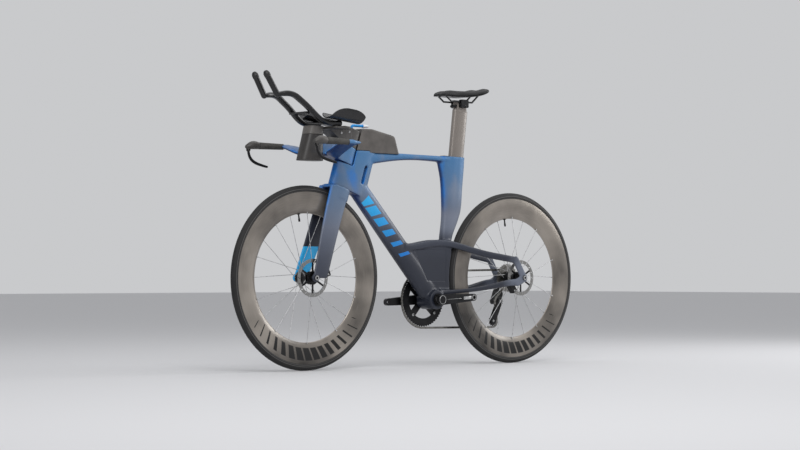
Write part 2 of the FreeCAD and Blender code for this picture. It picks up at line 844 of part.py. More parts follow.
def make_frame(dropouts):
    left = [left_seat_stay(), left_chain_stay()]
    right = [mirrored(piece) for piece in left]
    half_shell = bracket_shell_width / 2
    shell = disc(bracket, bracket_shell_radius, -half_shell, half_shell)
    cap_corner = vec(-wheelbase / 4, -head_width, top_tube_height)
    cap = Part.makeBox(wheelbase, head_width * 2, head_length * 2, cap_corner)
    head = head_section().cut(cap)
    body = head.fuse([top_tube(), down_tube(), seat_tube(), web(), shell] + left + right)
    slot_low = on_steer(crown_height + head_slot_low, -head_slot_front - head_slot_width / 2)
    slot_high = on_steer(crown_height + head_slot_high, -head_slot_front - head_slot_width / 2)
    half_slot = head_slot_width / 2
    slot = capsule(slot_low + steer_up * half_slot, slot_high - steer_up * half_slot, half_slot,
                   -head_width, head_width)
    swing = rod(on_steer(crown_height - crown_swing_depth, 0), on_steer(crown_height, 0), crown_swing_radius)
    bore = rod(on_steer(crown_height, 0), on_steer(head_top + cut_overrun, 0), head_bore_radius)
    low_seat = rod(on_steer(crown_height - cut_overrun, 0), on_steer(crown_height + bearing_height, 0),
                   bearing_seat_radius)
    high_seat = rod(on_steer(head_top - bearing_height, 0), on_steer(head_top + cut_overrun, 0),
                    bearing_seat_radius)
    half_wheel = wheel_cut_width / 2
    wheel = disc(rear_axle, tyre_radius + wheel_cut_gap, -half_wheel, half_wheel)
    shaft = disc(bracket, bracket_bore_radius, -half_shell - cut_overrun, half_shell + cut_overrun)
    post_depth = post_insert + post_bore_extra
    post = block_along(post_mouth - post_up * post_depth, post_ahead, post_chord + 2 * body_gap,
                       post_width + 2 * body_gap, post_fullness, post_up * (post_depth + cut_overrun))
    half_web = web_width / 2
    window = prism(panel_corners(panel_rim), -head_width, head_width)
    left_rebate = prism(panel_corners(0), half_web - panel_thickness, head_width)
    right_rebate = prism(panel_corners(0), -head_width, panel_thickness - half_web)
    for tool in (stem_space(), slot, swing, bore, low_seat, high_seat, wheel, shaft, post,
                 window, left_rebate, right_rebate, dropouts[0], dropouts[1]):
        body = body.cut(tool)
    return body


def make_panel(side):
    half = web_width / 2
    plate = prism(panel_corners(panel_gap), half - panel_thickness, half)
    return plate if side > 0 else mirrored(plate)


def make_bearings():
    outer = bearing_seat_radius - seat_gap
    inner = steerer_radius + running_gap
    low = pipe(on_steer(crown_height, 0), on_steer(crown_height + bearing_height - seat_gap, 0), outer, inner)
    high = pipe(on_steer(head_top - bearing_height + seat_gap, 0), on_steer(head_top, 0), outer, inner)
    return [low, high]


def make_bracket_cups():
    half = bracket_shell_width / 2
    outer = bracket_bore_radius - seat_gap
    sleeve = disc(bracket, outer, half - cup_flange_length * 3, half + cup_flange_length)
    flange = disc(bracket, cup_flange_radius, half, half + cup_flange_length)
    hole = disc(bracket, spindle_radius + running_gap, 0, half + cut_overrun)
    left = sleeve.fuse(flange).removeSplitter().cut(hole)
    return [left, mirrored(left)]


# Top tube box
box_base = top_tube_height - box_edge_radius
box_heel = vec(box_rear_x + box_rear_lean, 0, top_tube_height + box_rear_height)
box_shoulder = vec(box_shoulder_x, 0, top_tube_height + box_front_height)
box_slope = (box_shoulder - box_heel).normalize()
box_out = vec(-box_slope.z, 0, box_slope.x)
lid_hinge = box_heel + box_slope * lid_start - box_out * (lid_thickness / 2)


def box_outline():
    return [(box_rear_x, box_base), (box_heel.x, box_heel.z), (box_shoulder.x, box_shoulder.z),
            (top_tube_front_x, box_shoulder.z), (top_tube_front_x, box_base)]


def lid_slab(grow, deep, high, trim):
    """Slab along the sloping top, for the lid and for the pocket it lies in."""
    start = lid_hinge - box_slope * (grow - trim)
    end = lid_hinge + box_slope * (lid_length + grow - trim)
    corners = [start - box_out * deep, end - box_out * deep, end + box_out * high, start + box_out * high]
    half = lid_width / 2 + grow - trim
    return prism([(p.x, p.z) for p in corners], -half, half)


def make_box(frame):
    half = box_width / 2
    solid = prism(box_outline(), -half, half)
    crosses = runs_along(across)
    solid = rounded(solid, box_heel_radius, lambda edge: crosses(edge) and
                    (edge.CenterOfMass - box_heel).Length < box_edge_radius)
    solid = rounded(solid, box_edge_radius, lambda edge: not crosses(edge) and
                    edge.CenterOfMass.z > top_tube_height and
                    edge.CenterOfMass.x < box_shoulder_x + box_width * 2)
    barrel_half = lid_width / 2
    pin = rod(lid_hinge - across * barrel_half, lid_hinge + across * barrel_half, lid_barrel_radius)
    lid = solid.common(lid_slab(0, lid_thickness / 2, cut_overrun, 0)).fuse(pin).removeSplitter()
    groove_half = barrel_half + lid_gap
    groove = rod(lid_hinge - across * groove_half, lid_hinge + across * groove_half,
                 lid_barrel_radius + body_gap)
    floor = top_tube_height + box_wall
    inside = half - box_edge_radius
    roof = lid_thickness + box_wall
    hollow_front = box_shoulder_x - box_wall
    hollow = [(box_heel.x, floor), (box_heel.x + box_wall, box_heel.z - roof * 2),
              (hollow_front, box_shoulder.z - roof * 2), (hollow_front, floor)]
    mouth = lid_slab(0, lid_thickness * 6, 0, box_wall * 2)
    pocket = lid_slab(lid_gap, lid_thickness / 2 + body_gap, cut_overrun, 0)
    shell = solid
    for tool in (stem_space(), pocket, groove, prism(hollow, -inside, inside), mouth, frame):
        shell = shell.cut(tool)
    return shell, lid


def make_clamp_cover(frame):
    start = post_mouth.x + post_chord / 2 + clamp_cover_space
    low = post_mouth.z - clamp_cover_height
    plate = Part.makeBox(clamp_cover_length, clamp_cover_width, clamp_cover_height * 2,
                         vec(start, -clamp_cover_width / 2, low))
    return rounded(plate, clamp_cover_width / 4, runs_along(upward)).cut(frame)


# Seatpost and saddle
post_top = post_mouth + post_up * post_stick_out
saddle_nose_x = post_top.x + saddle_nose_ahead
saddle_base_height = post_top.z + saddle_above_post
rail_height = saddle_base_height - rail_drop
clamp_bolt_height = rail_height - clamp_ear_height


def make_seatpost():
    shaft = block_along(post_mouth - post_up * post_insert, post_ahead, post_chord, post_width, post_fullness,
                        post_up * (post_insert + post_stick_out))
    high = rail_height + clamp_ear_height / 4
    low = post_top.z - cut_overrun
    head = Part.makeBox(post_head_length, post_head_width - 2 * seat_gap, high - low,
                        vec(post_top.x - post_head_length / 2, seat_gap - post_head_width / 2, low))
    head = rounded(head, post_head_width / 4, runs_along(upward))
    middle = vec(post_top.x, 0, clamp_bolt_height)
    bolt = rod(middle - across * rail_spread, middle + across * rail_spread, clamp_bolt_radius + seat_gap)
    return shaft.fuse(head).removeSplitter().cut(bolt)


def make_saddle_clamp():
    """Ears that grip the two rails, with the bolt that joins them."""
    inner = post_head_width / 2
    outer = rail_spread / 2 + rail_radius + clamp_ear_thickness
    low = rail_height - clamp_ear_height * clamp_ear_drop_share
    ear = Part.makeBox(clamp_ear_length, outer - inner, clamp_ear_height * 2,
                       vec(post_top.x - clamp_ear_length / 2, inner, low))
    ear = rounded(ear, clamp_ear_thickness, runs_along(across))
    side = rail_spread / 2
    grip = vec(post_top.x, side, rail_height)
    rail = rod(grip - ahead * saddle_length, grip + ahead * saddle_length, rail_radius + body_gap)
    bolt_z = clamp_bolt_height
    hole = rod(vec(post_top.x, 0, bolt_z), vec(post_top.x, outer + cut_overrun, bolt_z),
               clamp_bolt_radius + seat_gap)
    ear = ear.cut(rail).cut(hole)
    head_end = outer + clamp_bolt_radius
    bolt = rod(vec(post_top.x, -head_end, bolt_z), vec(post_top.x, head_end, bolt_z), clamp_bolt_radius)
    return [ear, mirrored(ear), bolt]


def saddle_station(row):
    along, wide, thick, rise = row
    return (saddle_nose_x - saddle_length * along, saddle_width * wide / 2, pad_thickness * thick,
            saddle_base_height + pad_wing_rise * rise)


def make_saddle_pad():
    wires = []
    for row in saddle_shares:
        x, half, thick, base = saddle_station(row)
        dip = pad_channel_depth * row[2]
        side = [vec(x, half * out, base + thick * up) for out, up in pad_section_shares]
        points = [vec(x, -p.y, p.z) for p in side] + [vec(x, 0, base + thick - dip)] + side[::-1]
        curve = Part.BSplineCurve()
        curve.interpolate(points)
        wires.append(Part.Wire([curve.toShape(), Part.makeLine(points[-1], points[0])]))
    return loft(wires)


def make_saddle_shell():
    wires = []
    for row in saddle_shares:
        x, half, thick, base = saddle_station(row)
        reach = half - shell_inset
        top = base - seat_gap
        low = top - shell_thickness
        foot = reach * shell_foot_share
        loop = [vec(x, -reach, top), vec(x, reach, top), vec(x, foot, low), vec(x, -foot, low)]
        wires.append(Part.makePolygon(loop + loop[:1]))
    return loft(wires)


def make_saddle_rails(shell):
    rails = []
    tail = saddle_base_height + pad_wing_rise * rail_tail_share
    places = ((rail_front_ahead, saddle_base_height), (rail_flat_ahead, rail_height),
              (-rail_flat_behind, rail_height), (-rail_rear_behind, tail))
    for side in (rail_spread / 2, -rail_spread / 2):
        points = [vec(post_top.x + x, side, z) for x, z in places]
        pieces = [rod(a, b, rail_radius) for a, b in zip(points, points[1:])]
        pieces += [Part.makeSphere(rail_radius, p) for p in points[1:-1]]
        whole = pieces[0].fuse(pieces[1:]).removeSplitter().cut(shell)
        low = min(whole.Solids, key=lambda solid: solid.CenterOfMass.z)
        rails.append(low)
    return rails


# Fork and its brake
def left_blade():
    tip_side = blade_tip_inner + blade_tip_thickness / 2
    wires = []
    for level, spread in ((1 + blade_extra_share, 1),) + blade_shares:
        middle = blade_tip + (blade_top - blade_tip) * level
        middle.y = tip_side + (blade_top_spread - tip_side) * spread
        chord = blade_tip_chord + (blade_top_chord - blade_tip_chord) * level
        thick = blade_tip_thickness + (blade_thickness - blade_tip_thickness) * level
        wires.append(oval(middle, ahead, across, chord, thick, blade_fullness))
    return loft(wires)


def make_fork():
    """Crown with its steerer, and the two legs that join it from below."""
    blade = left_blade()
    outer = blade_tip_inner + blade_tip_thickness
    foot = disc(front_axle, fork_tip_radius, blade_tip_inner, outer)
    crown = block_along(on_steer(crown_height - crown_depth, crown_centre), steer_ahead, crown_length,
                        crown_width, crown_fullness, steer_up * crown_depth)
    leg = blade.fuse(foot).removeSplitter()
    above = Part.makeBox(crown_length * 4, crown_width * 4, crown_length * 2,
                         vec(-crown_length * 2, -crown_width * 2, 0))
    seat = on_steer(crown_height - body_gap, 0)
    above.Placement = FreeCAD.Placement(seat, FreeCAD.Rotation(ahead, steer_ahead))
    half_wheel = wheel_cut_width / 2
    wheel = disc(front_axle, tyre_radius + wheel_cut_gap * fork_gap_share, -half_wheel, half_wheel)
    hole = disc(front_axle, hub_bore_radius + running_gap, -outer - cut_overrun, outer + cut_overrun)
    steerer = rod(on_steer(crown_height - body_gap * 2, 0), on_steer(head_top + steerer_above_head, 0),
                  steerer_radius)
    crown = crown.cut(above).cut(wheel).fuse(steerer).removeSplitter()
    legs = [item.cut(above).cut(wheel).cut(hole).cut(crown) for item in (leg, mirrored(leg))]
    return [crown] + [max(item.Solids, key=lambda solid: solid.Volume) for item in legs]


def make_caliper(axle, rotor_offset, angle, backing):
    """Caliper over the rotor's edge, and the two pads in its slot."""
    turn = math.radians(angle)
    out = vec(math.cos(turn), 0, math.sin(turn))
    half_slot = rotor_thickness / 2 + brake_pad_gap + brake_pad_thickness
    body = Part.makeBox(caliper_depth, caliper_width, caliper_length,
                        vec(caliper_reach - caliper_depth / 2, -caliper_width / 2, -caliper_length / 2))
    body = rounded(body, caliper_edge_radius, lambda edge: True)
    slot = Part.makeBox(rotor_radius + brake_pad_gap * 2, half_slot * 2, caliper_length * 2,
                        vec(0, -half_slot, -caliper_length))
    body = body.cut(slot)
    pads = []
    for side in (half_slot - brake_pad_thickness, -half_slot):
        pads.append(Part.makeBox(pad_size, brake_pad_thickness, pad_size,
                                 vec(rotor_radius - pad_size, side, -pad_size / 2)))
    place = FreeCAD.Placement(axle + across * rotor_offset, FreeCAD.Rotation(ahead, out))
    for item in [body] + pads:
        item.Placement = place
    for item in backing:
        body = body.cut(item)
    return body, pads


# Base bar, grips and levers
def horn_line(x, side):
    share = (x - horn_start_x) / (horn_end_x - horn_start_x)
    return vec(x, side * (wing_span_half + horn_toe_out * share), horn_height)


def make_base_bar():
    stem = block_along(on_steer(stem_base, stem_centre), steer_ahead, stem_length, stem_width, stem_fullness,
                       steer_up * stem_height)
    wires = []
    rows = [(-row[0],) + row[1:] for row in reversed(wing_shares[1:])] + list(wing_shares)
    for span, sweep, rise, chord, thick in rows:
        length = wing_root_chord * chord
        middle = vec(wing_root_lead + wing_sweep * sweep - length / 2, wing_span_half * span,
                     wing_height + wing_rise * rise)
        wires.append(oval(middle, ahead, upward, length, wing_thickness * thick, wing_fullness))
    pieces = [loft(wires)]
    for side in (1, -1):
        start = horn_line(horn_start_x, side)
        end = horn_line(horn_end_x, side)
        back = (start - end).normalize()
        pieces.append(rod(start, end, horn_radius))
        pieces.append(Part.makeCone(horn_radius, horn_tail_radius, horn_tail_length, start, back))
        pieces.append(Part.makeSphere(horn_tail_radius, start + back * horn_tail_length))
    mount_rear = bottle_rear_x - bottle_mount_length + bottle_mount_sink
    pieces.append(Part.makeBox(bottle_mount_length, bottle_mount_width, bottle_mount_height,
                               vec(mount_rear, -bottle_mount_width / 2, wing_height)))
    hole = rod(on_steer(head_top, 0), on_steer(head_top + steerer_above_head + seat_gap, 0),
               steerer_radius + seat_gap)
    return stem.fuse(pieces).removeSplitter().cut(hole)


def make_grip(side, bar):
    start = horn_line(grip_start_x, side)
    end = horn_line(grip_end_x, side)
    run = end - start
    sleeve = Part.makeCone(grip_rear_radius, grip_front_radius, run.Length, start, run)
    return sleeve.cut(rod(start - run, end + run, horn_radius + seat_gap)).cut(bar)


def lever_pivot(side):
    return horn_line(lever_pivot_x, side) - upward * lever_pivot_drop


def make_hood(side):
    start = horn_line(grip_end_x, side)
    run = horn_line(hood_tip_x, side) - start
    line = vec(run.x, run.y, run.z).normalize()
    start = start + line * seat_gap
    wires = []
    for along, size, rise in hood_shares:
        wheel = Part.makeCircle(hood_radius * size, start + run * along + upward * (hood_radius * rise), line)
        wires.append(Part.Wire([wheel]))
    pivot = lever_pivot(side)
    half = hood_clevis_width / 2
    outer = half + lever_pin_radius
    cheek = capsule(pivot, pivot + upward * (lever_lug_radius * 2), lever_lug_radius,
                    pivot.y - outer, pivot.y + outer)
    body = loft(wires).fuse(cheek).removeSplitter()
    room = lever_lug_radius + body_gap * 2
    slot = capsule(pivot, pivot - upward * (lever_drop / 2), room, pivot.y - half, pivot.y + half)
    pin = rod(pivot - across * (outer + cut_overrun), pivot + across * (outer + cut_overrun),
              lever_pin_radius + running_gap)
    bar = rod(start - run, horn_line(horn_end_x, side) + line * seat_gap, horn_radius + seat_gap)
    return body.cut(slot).cut(pin).cut(bar)


def make_lever(side):
    pivot = lever_pivot(side)
    points = [pivot - ahead * (lever_reach_back * back) - upward * (lever_drop * down)
              for back, down, deep in lever_shares]
    depths = [lever_depth * deep for back, down, deep in lever_shares]
    blade = tube_through(points, depths, [lever_width] * len(points), tube_fullness)
    half = lever_width / 2
    lug = disc(pivot, lever_lug_radius, pivot.y - half, pivot.y + half)
    outer = hood_clevis_width / 2 + lever_pin_radius
    pin = rod(pivot - across * outer, pivot + across * outer, lever_pin_radius)
    return blade.fuse([lug, pin]).removeSplitter()


# Aerobars
def make_riser():
    body = block_along(on_steer(stem_top, riser_centre), steer_ahead, riser_length, riser_width,
                       stem_fullness, steer_up * riser_height)
    low = plate_top_z - plate_thickness
    plate = Part.makeBox(plate_front_x - plate_rear_x, plate_half_span * 2, plate_thickness,
                         vec(plate_rear_x, -plate_half_span, low))
    plate = rounded(plate, plate_thickness, runs_along(upward))
    foot = on_steer(stem_top, riser_centre + riser_length / 2)
    front = plate_front_x - plate_thickness
    top = plate_top_z - seat_gap
    corners = [(gusset_rear_x, foot.z), (foot.x, foot.z), (front, low), (front, top), (gusset_rear_x, top)]
    gusset = prism(corners, -gusset_width / 2, gusset_width / 2)
    return body.fuse([plate, gusset]).removeSplitter()


def make_arm(side):
    middle_x = (arm_rear_x + arm_bend_x) / 2
    points = [vec(arm_rear_x, arm_spread, arm_level), vec(middle_x, arm_spread, arm_level)]
    for along, rise, inward in arm_shares:
        points.append(vec(arm_bend_x + (arm_crest_x - arm_bend_x) * along,
                          arm_spread + (arm_crest_spread - arm_spread) * inward,
                          arm_level + (arm_crest_z - arm_level) * rise))
    points.append((points[-1] + arm_elbow) / 2 + upward * (arm_depth / 8))
    points.append(arm_elbow)
    depths = [arm_depth] * len(points)
    widths = [arm_width] * (len(points) - 2) + [arm_width * arm_elbow_share, grip_post_radius * 2]
    post = rod(arm_elbow, grip_tip, grip_post_radius)
    arm = tube_through(points, depths, widths, arm_fullness)
    whole = arm.fuse([post, Part.makeSphere(grip_post_radius, arm_elbow)]).removeSplitter()
    return whole if side > 0 else mirrored(whole)


grip_line = (grip_tip - arm_elbow).normalize()


def make_pod(side):
    start = grip_tip + grip_line * seat_gap
    straight = pod_length * pod_straight_share
    shoulder = start + grip_line * straight
    body = rod(start, shoulder, pod_radius)
    nose = Part.makeCone(pod_radius, pod_nose_radius, pod_length - straight, shoulder, grip_line)
    top = start + grip_line * pod_length
    well = rod(top - grip_line * button_well, top + grip_line * cut_overrun, button_radius + seat_gap)
    whole = body.fuse(nose).removeSplitter().cut(well)
    return whole if side > 0 else mirrored(whole)


def make_button(side):
    top = grip_tip + grip_line * (seat_gap + pod_length + button_proud)
    pin = rod(top - grip_line * button_length, top, button_radius)
    pin = rounded(pin, button_proud / 2, lambda edge: (edge.CenterOfMass - top).Length < button_proud)
    return pin if side > 0 else mirrored(pin)


def make_bridge(arms):
    reach = arm_spread - arm_width * bridge_reach_share
    bar = Part.makeBox(bridge_front_x - bridge_rear_x, reach * 2, bridge_thickness,
                       vec(bridge_rear_x, -reach, bridge_height))
    for arm in arms:
        bar = bar.cut(arm)
    bar = max(bar.Solids, key=lambda solid: solid.Volume)
    middle = (bridge_front_x + bridge_rear_x) / 2
    for side in (bridge_hole_spacing / 2, -bridge_hole_spacing / 2):
        low = vec(middle, side, bridge_height - cut_overrun)
        bar = bar.cut(rod(low, low + upward * (bridge_thickness + cut_overrun * 2), bridge_hole_radius))
    return bar


def trough_wire(x, radius, wall, start, end, edge_share):
    """Cross-section of a trough: two arcs joined by short lines, in a plane across the bike."""
    middle = vec(x, cup_spread, cup_floor + cup_radius)
    half = (start + end) / 2

    def at(r, turn):
        a = math.radians(turn)
        return middle + across * (r * math.cos(a)) + upward * (r * math.sin(a))

    inner = radius - wall
    edge = radius - wall * edge_share
    return Part.Wire([
        Part.Arc(at(radius, start), at(radius, half), at(radius, end)).toShape(),
        Part.makeLine(at(radius, end), at(edge, end)),
        Part.Arc(at(edge, end), at(inner, half), at(edge, start)).toShape(),
        Part.makeLine(at(edge, start), at(radius, start))])


def tilted(shape):
    return shape.rotate(vec(plate_front_x, 0, cup_floor), across, -cup_tilt)


def make_cup(side):
    band = Part.Face(trough_wire(cup_rear_x, cup_radius, cup_wall, cup_outer_turn, cup_inner_turn, 1))
    band = band.extrude(ahead * cup_length)
    centre = vec(cup_rear_x + cup_length * cup_crest_share, cup_spread - cup_width, cup_floor + cup_wall)
    outline = Part.Face(oval(centre, ahead, upward, cup_length * cup_outline_share, cup_outer_height * 2,
                             cup_fullness))
    whole = tilted(band.common(outline.extrude(across * (cup_width * 2))))
    return whole if side > 0 else mirrored(whole)


def make_rest_pad(side):
    wires = []
    length = cup_length - rest_pad_margin * 2
    middle = (cup_outer_turn + cup_inner_turn) / 2
    sweep = (cup_outer_turn - cup_inner_turn) / 2
    for along, thick, wide in rest_pad_shares:
        x = cup_rear_x + rest_pad_margin + length * along
        reach = sweep * wide * rest_pad_sweep_share
        wires.append(trough_wire(x, cup_radius - cup_wall - seat_gap, rest_pad_thickness * thick,
                                 middle + reach, middle - reach, rest_pad_edge_share))
    whole = tilted(loft(wires))
    return whole if side > 0 else mirrored(whole)


# Hydration bottle and straw
def make_bottle(bar):
    low_length = bottle_nose_x - bottle_rear_x
    top_length = bottle_top_x - bottle_rear_x
    wires = []
    for length, z in ((low_length, bottle_bottom_z), (top_length, plate_top_z)):
        middle = vec(bottle_rear_x + length / 2, 0, z)
        wires.append(oval(middle, ahead, across, length, bottle_width, stem_fullness))
    whole = loft(wires)
    seam = plate_top_z - bottle_lid_height
    upper = Part.makeBox(low_length * 2, bottle_width * 2, bottle_lid_height * 2,
                         vec(bottle_rear_x - low_length / 2, -bottle_width, seam))
    return whole.cut(upper).cut(bar), whole.common(upper)


def make_straw(riser):
    foot = on_steer(stem_top + riser_height, straw_base_back)
    low = vec(foot.x, 0, foot.z - cut_overrun)
    bend = straw_bend_radius
    rise = vec(foot.x, 0, foot.z + straw_rise - bend)
    turn = vec(foot.x - bend, 0, rise.z + bend)
    mid = vec(turn.x + bend * math.cos(math.pi / 4), 0, rise.z + bend * math.sin(math.pi / 4))
    end = turn - ahead * straw_run
    path = Part.Wire([Part.makeLine(low, rise), Part.Arc(rise, mid, turn).toShape(),
                      Part.makeLine(turn, end)])

    def swept(radius):
        ring = Part.Wire([Part.makeCircle(radius, low, upward)])
        return path.makePipeShell([ring], True, False)

    tube = swept(straw_radius).cut(swept(straw_bore_radius)).cut(riser)
    tube = max(tube.Solids, key=lambda solid: solid.Volume)
    far = end - ahead * valve_length
    valve = Part.makeCone(valve_radius, valve_tip_radius, valve_length, end - ahead * seat_gap, ahead * -1)
    valve = valve.cut(rod(end, far - ahead * cut_overrun, straw_bore_radius / 2))
    return [tube, valve]


# Drivetrain
def pitch_radius(teeth):
    return chain_pitch / (2 * math.sin(math.pi / teeth))


guide = rear_axle + vec(-guide_pulley_behind, 0, -guide_pulley_drop)
tension = rear_axle + vec(-tension_pulley_behind, 0, -tension_pulley_drop)


def chain_route():
    """Pin places round ring, tension pulley, guide pulley and cog, in order of travel."""
    wheels = [(bracket, pitch_radius(ring_teeth), 1), (tension, pitch_radius(pulley_teeth), 1),
              (guide, pitch_radius(pulley_teeth), -1), (rear_axle, pitch_radius(ride_cog_teeth), 1)]
    straights = []
    for k, (here, r_here, s_here) in enumerate(wheels):
        there, r_there, s_there = wheels[(k + 1) % len(wheels)]
        gap = there - here
        heading = math.atan2(gap.z, gap.x) - math.asin((s_here * r_here - s_there * r_there) / gap.Length)
        side = vec(-math.sin(heading), 0, math.cos(heading))
        straights.append((here + side * (s_here * r_here), there + side * (s_there * r_there)))
    pieces = []
    for k, (centre, radius, sense) in enumerate(wheels):
        arrive = straights[k - 1][1] - centre
        leave = straights[k][0] - centre
        first = math.atan2(arrive.z, arrive.x)
        sweep = (math.atan2(leave.z, leave.x) - first) * -sense % (2 * math.pi)
        pieces.append((radius * sweep, centre, radius, first, -sense))
        pieces.append(((straights[k][1] - straights[k][0]).Length,) + straights[k])
    total = sum(piece[0] for piece in pieces)
    count = 2 * round(total / chain_pitch / 2)
    places = []
    for k in range(count):
        left = total * k / count
        for piece in pieces:
            if left <= piece[0]:
                break
            left -= piece[0]
        if len(piece) == 3:
            places.append(piece[1] + (piece[2] - piece[1]).normalize() * left)
        else:
            turn = piece[3] + piece[4] * left / piece[2]
            places.append(piece[1] + vec(math.cos(turn), 0, math.sin(turn)) * piece[2])
    return places


def link_plates(inner_face):
    start = vec(-chain_pitch / 2, 0, 0)
    end = vec(chain_pitch / 2, 0, 0)
    outer = inner_face + link_plate_thickness
    return [capsule(start, end, link_plate_half, inner_face, outer),
            capsule(start, end, link_plate_half, -outer, -inner_face)]


def make_chain():
    half = chain_pitch / 2
    outer_face = link_inner_half + link_plate_thickness + link_plate_gap
    reach = outer_face + link_plate_thickness
    rollers = [disc(vec(x, 0, 0), roller_radius, -link_inner_half, link_inner_half) for x in (-half, half)]
    left, right = link_plates(link_inner_half)
    inner = left.fuse([right] + rollers).removeSplitter()
    pins = [disc(vec(x, 0, 0), pin_radius, -reach, reach) for x in (-half, half)]
    for x in (-half, half):
        inner = inner.cut(disc(vec(x, 0, 0), pin_radius + pin_gap, -reach, reach))
    left, right = link_plates(outer_face)
    outer = left.fuse([right] + pins).removeSplitter()
    places = chain_route()
    links = []
    for k, here in enumerate(places):
        there = places[(k + 1) % len(places)]
        link = (inner if k % 2 else outer).copy()
        middle = (here + there) / 2 - across * chain_line
        link.Placement = FreeCAD.Placement(middle, FreeCAD.Rotation(ahead, there - here))
        links.append(link)
    print("chain links", len(links), "ring to cog", round(ring_teeth / ride_cog_teeth, 4))
    return links


def make_cassette():
    ride = cog_teeth.index(ride_cog_teeth)
    cogs = []
    for k, teeth in enumerate(cog_teeth):
        cogs.append(toothed(teeth, cog_thickness, -chain_line - cog_spacing * (ride - k)))
    outer = -chain_line - cog_spacing * ride - cog_thickness
    inner = -chain_line + cog_spacing * (len(cog_teeth) - 1 - ride) + cog_thickness / 2
    sleeve = disc(vec(0, 0, 0), cog_sleeve_radius, outer, inner)
    bore = disc(vec(0, 0, 0), hub_sleeve_radius + running_gap, outer - cut_overrun, inner + cut_overrun)
    return sleeve.fuse(cogs).removeSplitter().cut(bore).translate(rear_axle)


def make_pulley(centre):
    half = cage_gap - body_gap
    hub = disc(vec(0, 0, 0), pulley_hub_radius, -half, half)
    wheel = toothed(pulley_teeth, pulley_thickness, 0).fuse(hub).removeSplitter()
    bore = disc(vec(0, 0, 0), pulley_pin_radius + running_gap, -half - cut_overrun, half + cut_overrun)
    return wheel.cut(bore).translate(centre - across * chain_line)


def make_cage():
    near = -chain_line - cage_gap
    far = -chain_line + cage_gap
    pieces = [capsule(guide, tension, cage_radius, near - cage_thickness, near),
              capsule(guide, tension, cage_radius, far, far + cage_thickness)]
    pieces += [disc(p, pulley_pin_radius, near, far) for p in (guide, tension)]
    return pieces[0].fuse(pieces[1:]).removeSplitter()


hanger_eye = rear_axle - vec(hanger_behind, 0, hanger_drop)


def make_hanger(frame, dropouts):
    inner = rear_hub_half + (dropout_thickness - hanger_thickness) / 2
    bar = capsule(rear_axle, hanger_eye, hanger_radius, -inner - hanger_thickness, -inner)
    core = disc(rear_axle, dropout_radius, -inner - hanger_thickness, -inner)
    return bar.cut(frame).cut(dropouts[1]).cut(core)


def make_derailleur():
    """Knuckle on the hanger and parallelogram down to the cage pivot."""
    knee = hanger_eye + (guide - hanger_eye) * mech_knee_share
    hang = rear_hub_half + (dropout_thickness + hanger_thickness) / 2
    outside = hang + mech_width * mech_out_share
    step = outside - mech_width * mech_step_share
    inside = chain_line + cage_gap + cage_thickness
    knuckle = capsule(hanger_eye, knee, mech_radius * knuckle_share, -outside, -hang - seat_gap)
    link = capsule(knee, guide, mech_radius * parallel_share, -step, -inside - seat_gap)
    body = knuckle.fuse(link).removeSplitter()
    corner = vec(knee.x - battery_length * battery_back_share, -step, knee.z - battery_height / 2)
    battery = Part.makeBox(battery_length, battery_width, battery_height, corner)
    battery = rounded(battery, battery_height / 6, lambda edge: True).cut(body)
    return body, max(battery.Solids, key=lambda solid: solid.Volume)


# Crankset
def crank_end(sense):
    tilt = math.radians(crank_tilt)
    return bracket + vec(-sense * crank_length * math.cos(tilt), 0, sense * crank_length * math.sin(tilt))


def crank_bar(sense, right, left):
    """Arm that narrows from the boss to the pedal eye."""
    end = crank_end(sense)
    run = end - bracket
    line = vec(run.x, 0, run.z).normalize()
    side = vec(-line.z, 0, line.x)
    lean = (crank_boss_radius - crank_end_radius) / crank_length
    rise = math.sqrt(1 - lean ** 2)
    corners = []
    for centre, radius, way in ((bracket, crank_boss_radius, 1), (end, crank_end_radius, 1),
                                (end, crank_end_radius, -1), (bracket, crank_boss_radius, -1)):
        p = centre + line * (radius * lean) + side * (way * radius * rise)
        corners.append((p.x, p.z))
    bar = prism(corners, right, left)
    eye = disc(end, pedal_hole_radius, right - cut_overrun, left + cut_overrun)
    ends = [disc(bracket, crank_boss_radius, right, left), disc(end, crank_end_radius, right, left)]
    return bar.fuse(ends).removeSplitter().cut(eye)


def make_left_crank():
    outer = crank_inner + crank_thickness
    hole = disc(bracket, spindle_radius + seat_gap, crank_inner - cut_overrun, outer + cut_overrun)
    return crank_bar(1, crank_inner, outer).cut(hole)


def make_right_crank():
    outer = crank_inner + crank_thickness
    near = chain_line + ring_thickness / 2 + seat_gap
    bar = crank_bar(-1, -outer, -crank_inner)
    pieces = [disc(bracket, crank_boss_radius + spider_thickness / 2, -crank_inner, -near)]
    for k in range(spider_arms):
        arm = capsule(vec(0, 0, 0), vec(spider_radius - spider_arm_width / 2, 0, 0), spider_arm_width / 2,
                      -near - spider_thickness, -near)
        arm.rotate(vec(0, 0, 0), across, 360 * (k + 0.5) / spider_arms + crank_tilt)
        pieces.append(arm.translate(vec(bracket.x, 0, bracket.z)))
    hole = disc(bracket, spindle_radius + seat_gap, -outer - cut_overrun, -near + cut_overrun)
    cup_end = bracket_shell_width / 2 + cup_flange_length + body_gap
    cup_room = disc(bracket, cup_flange_radius + body_gap * 2, -cup_end, 0)
    return bar.fuse(pieces).removeSplitter().cut(hole).cut(cup_room)


def make_chainring():
    teeth = toothed(ring_teeth, cog_thickness, -chain_line)
    tip = pitch_radius(ring_teeth) - roller_radius - tooth_clear
    body_radius = tip - tooth_height * 2
    half = ring_thickness / 2
    band = disc(vec(0, 0, 0), body_radius, -chain_line - half, -chain_line + half)
    inner = body_radius - ring_band
    hole = disc(vec(0, 0, 0), inner, -chain_line - half - cut_overrun, -chain_line + half + cut_overrun)
    return teeth.fuse(band).removeSplitter().cut(hole).translate(bracket)


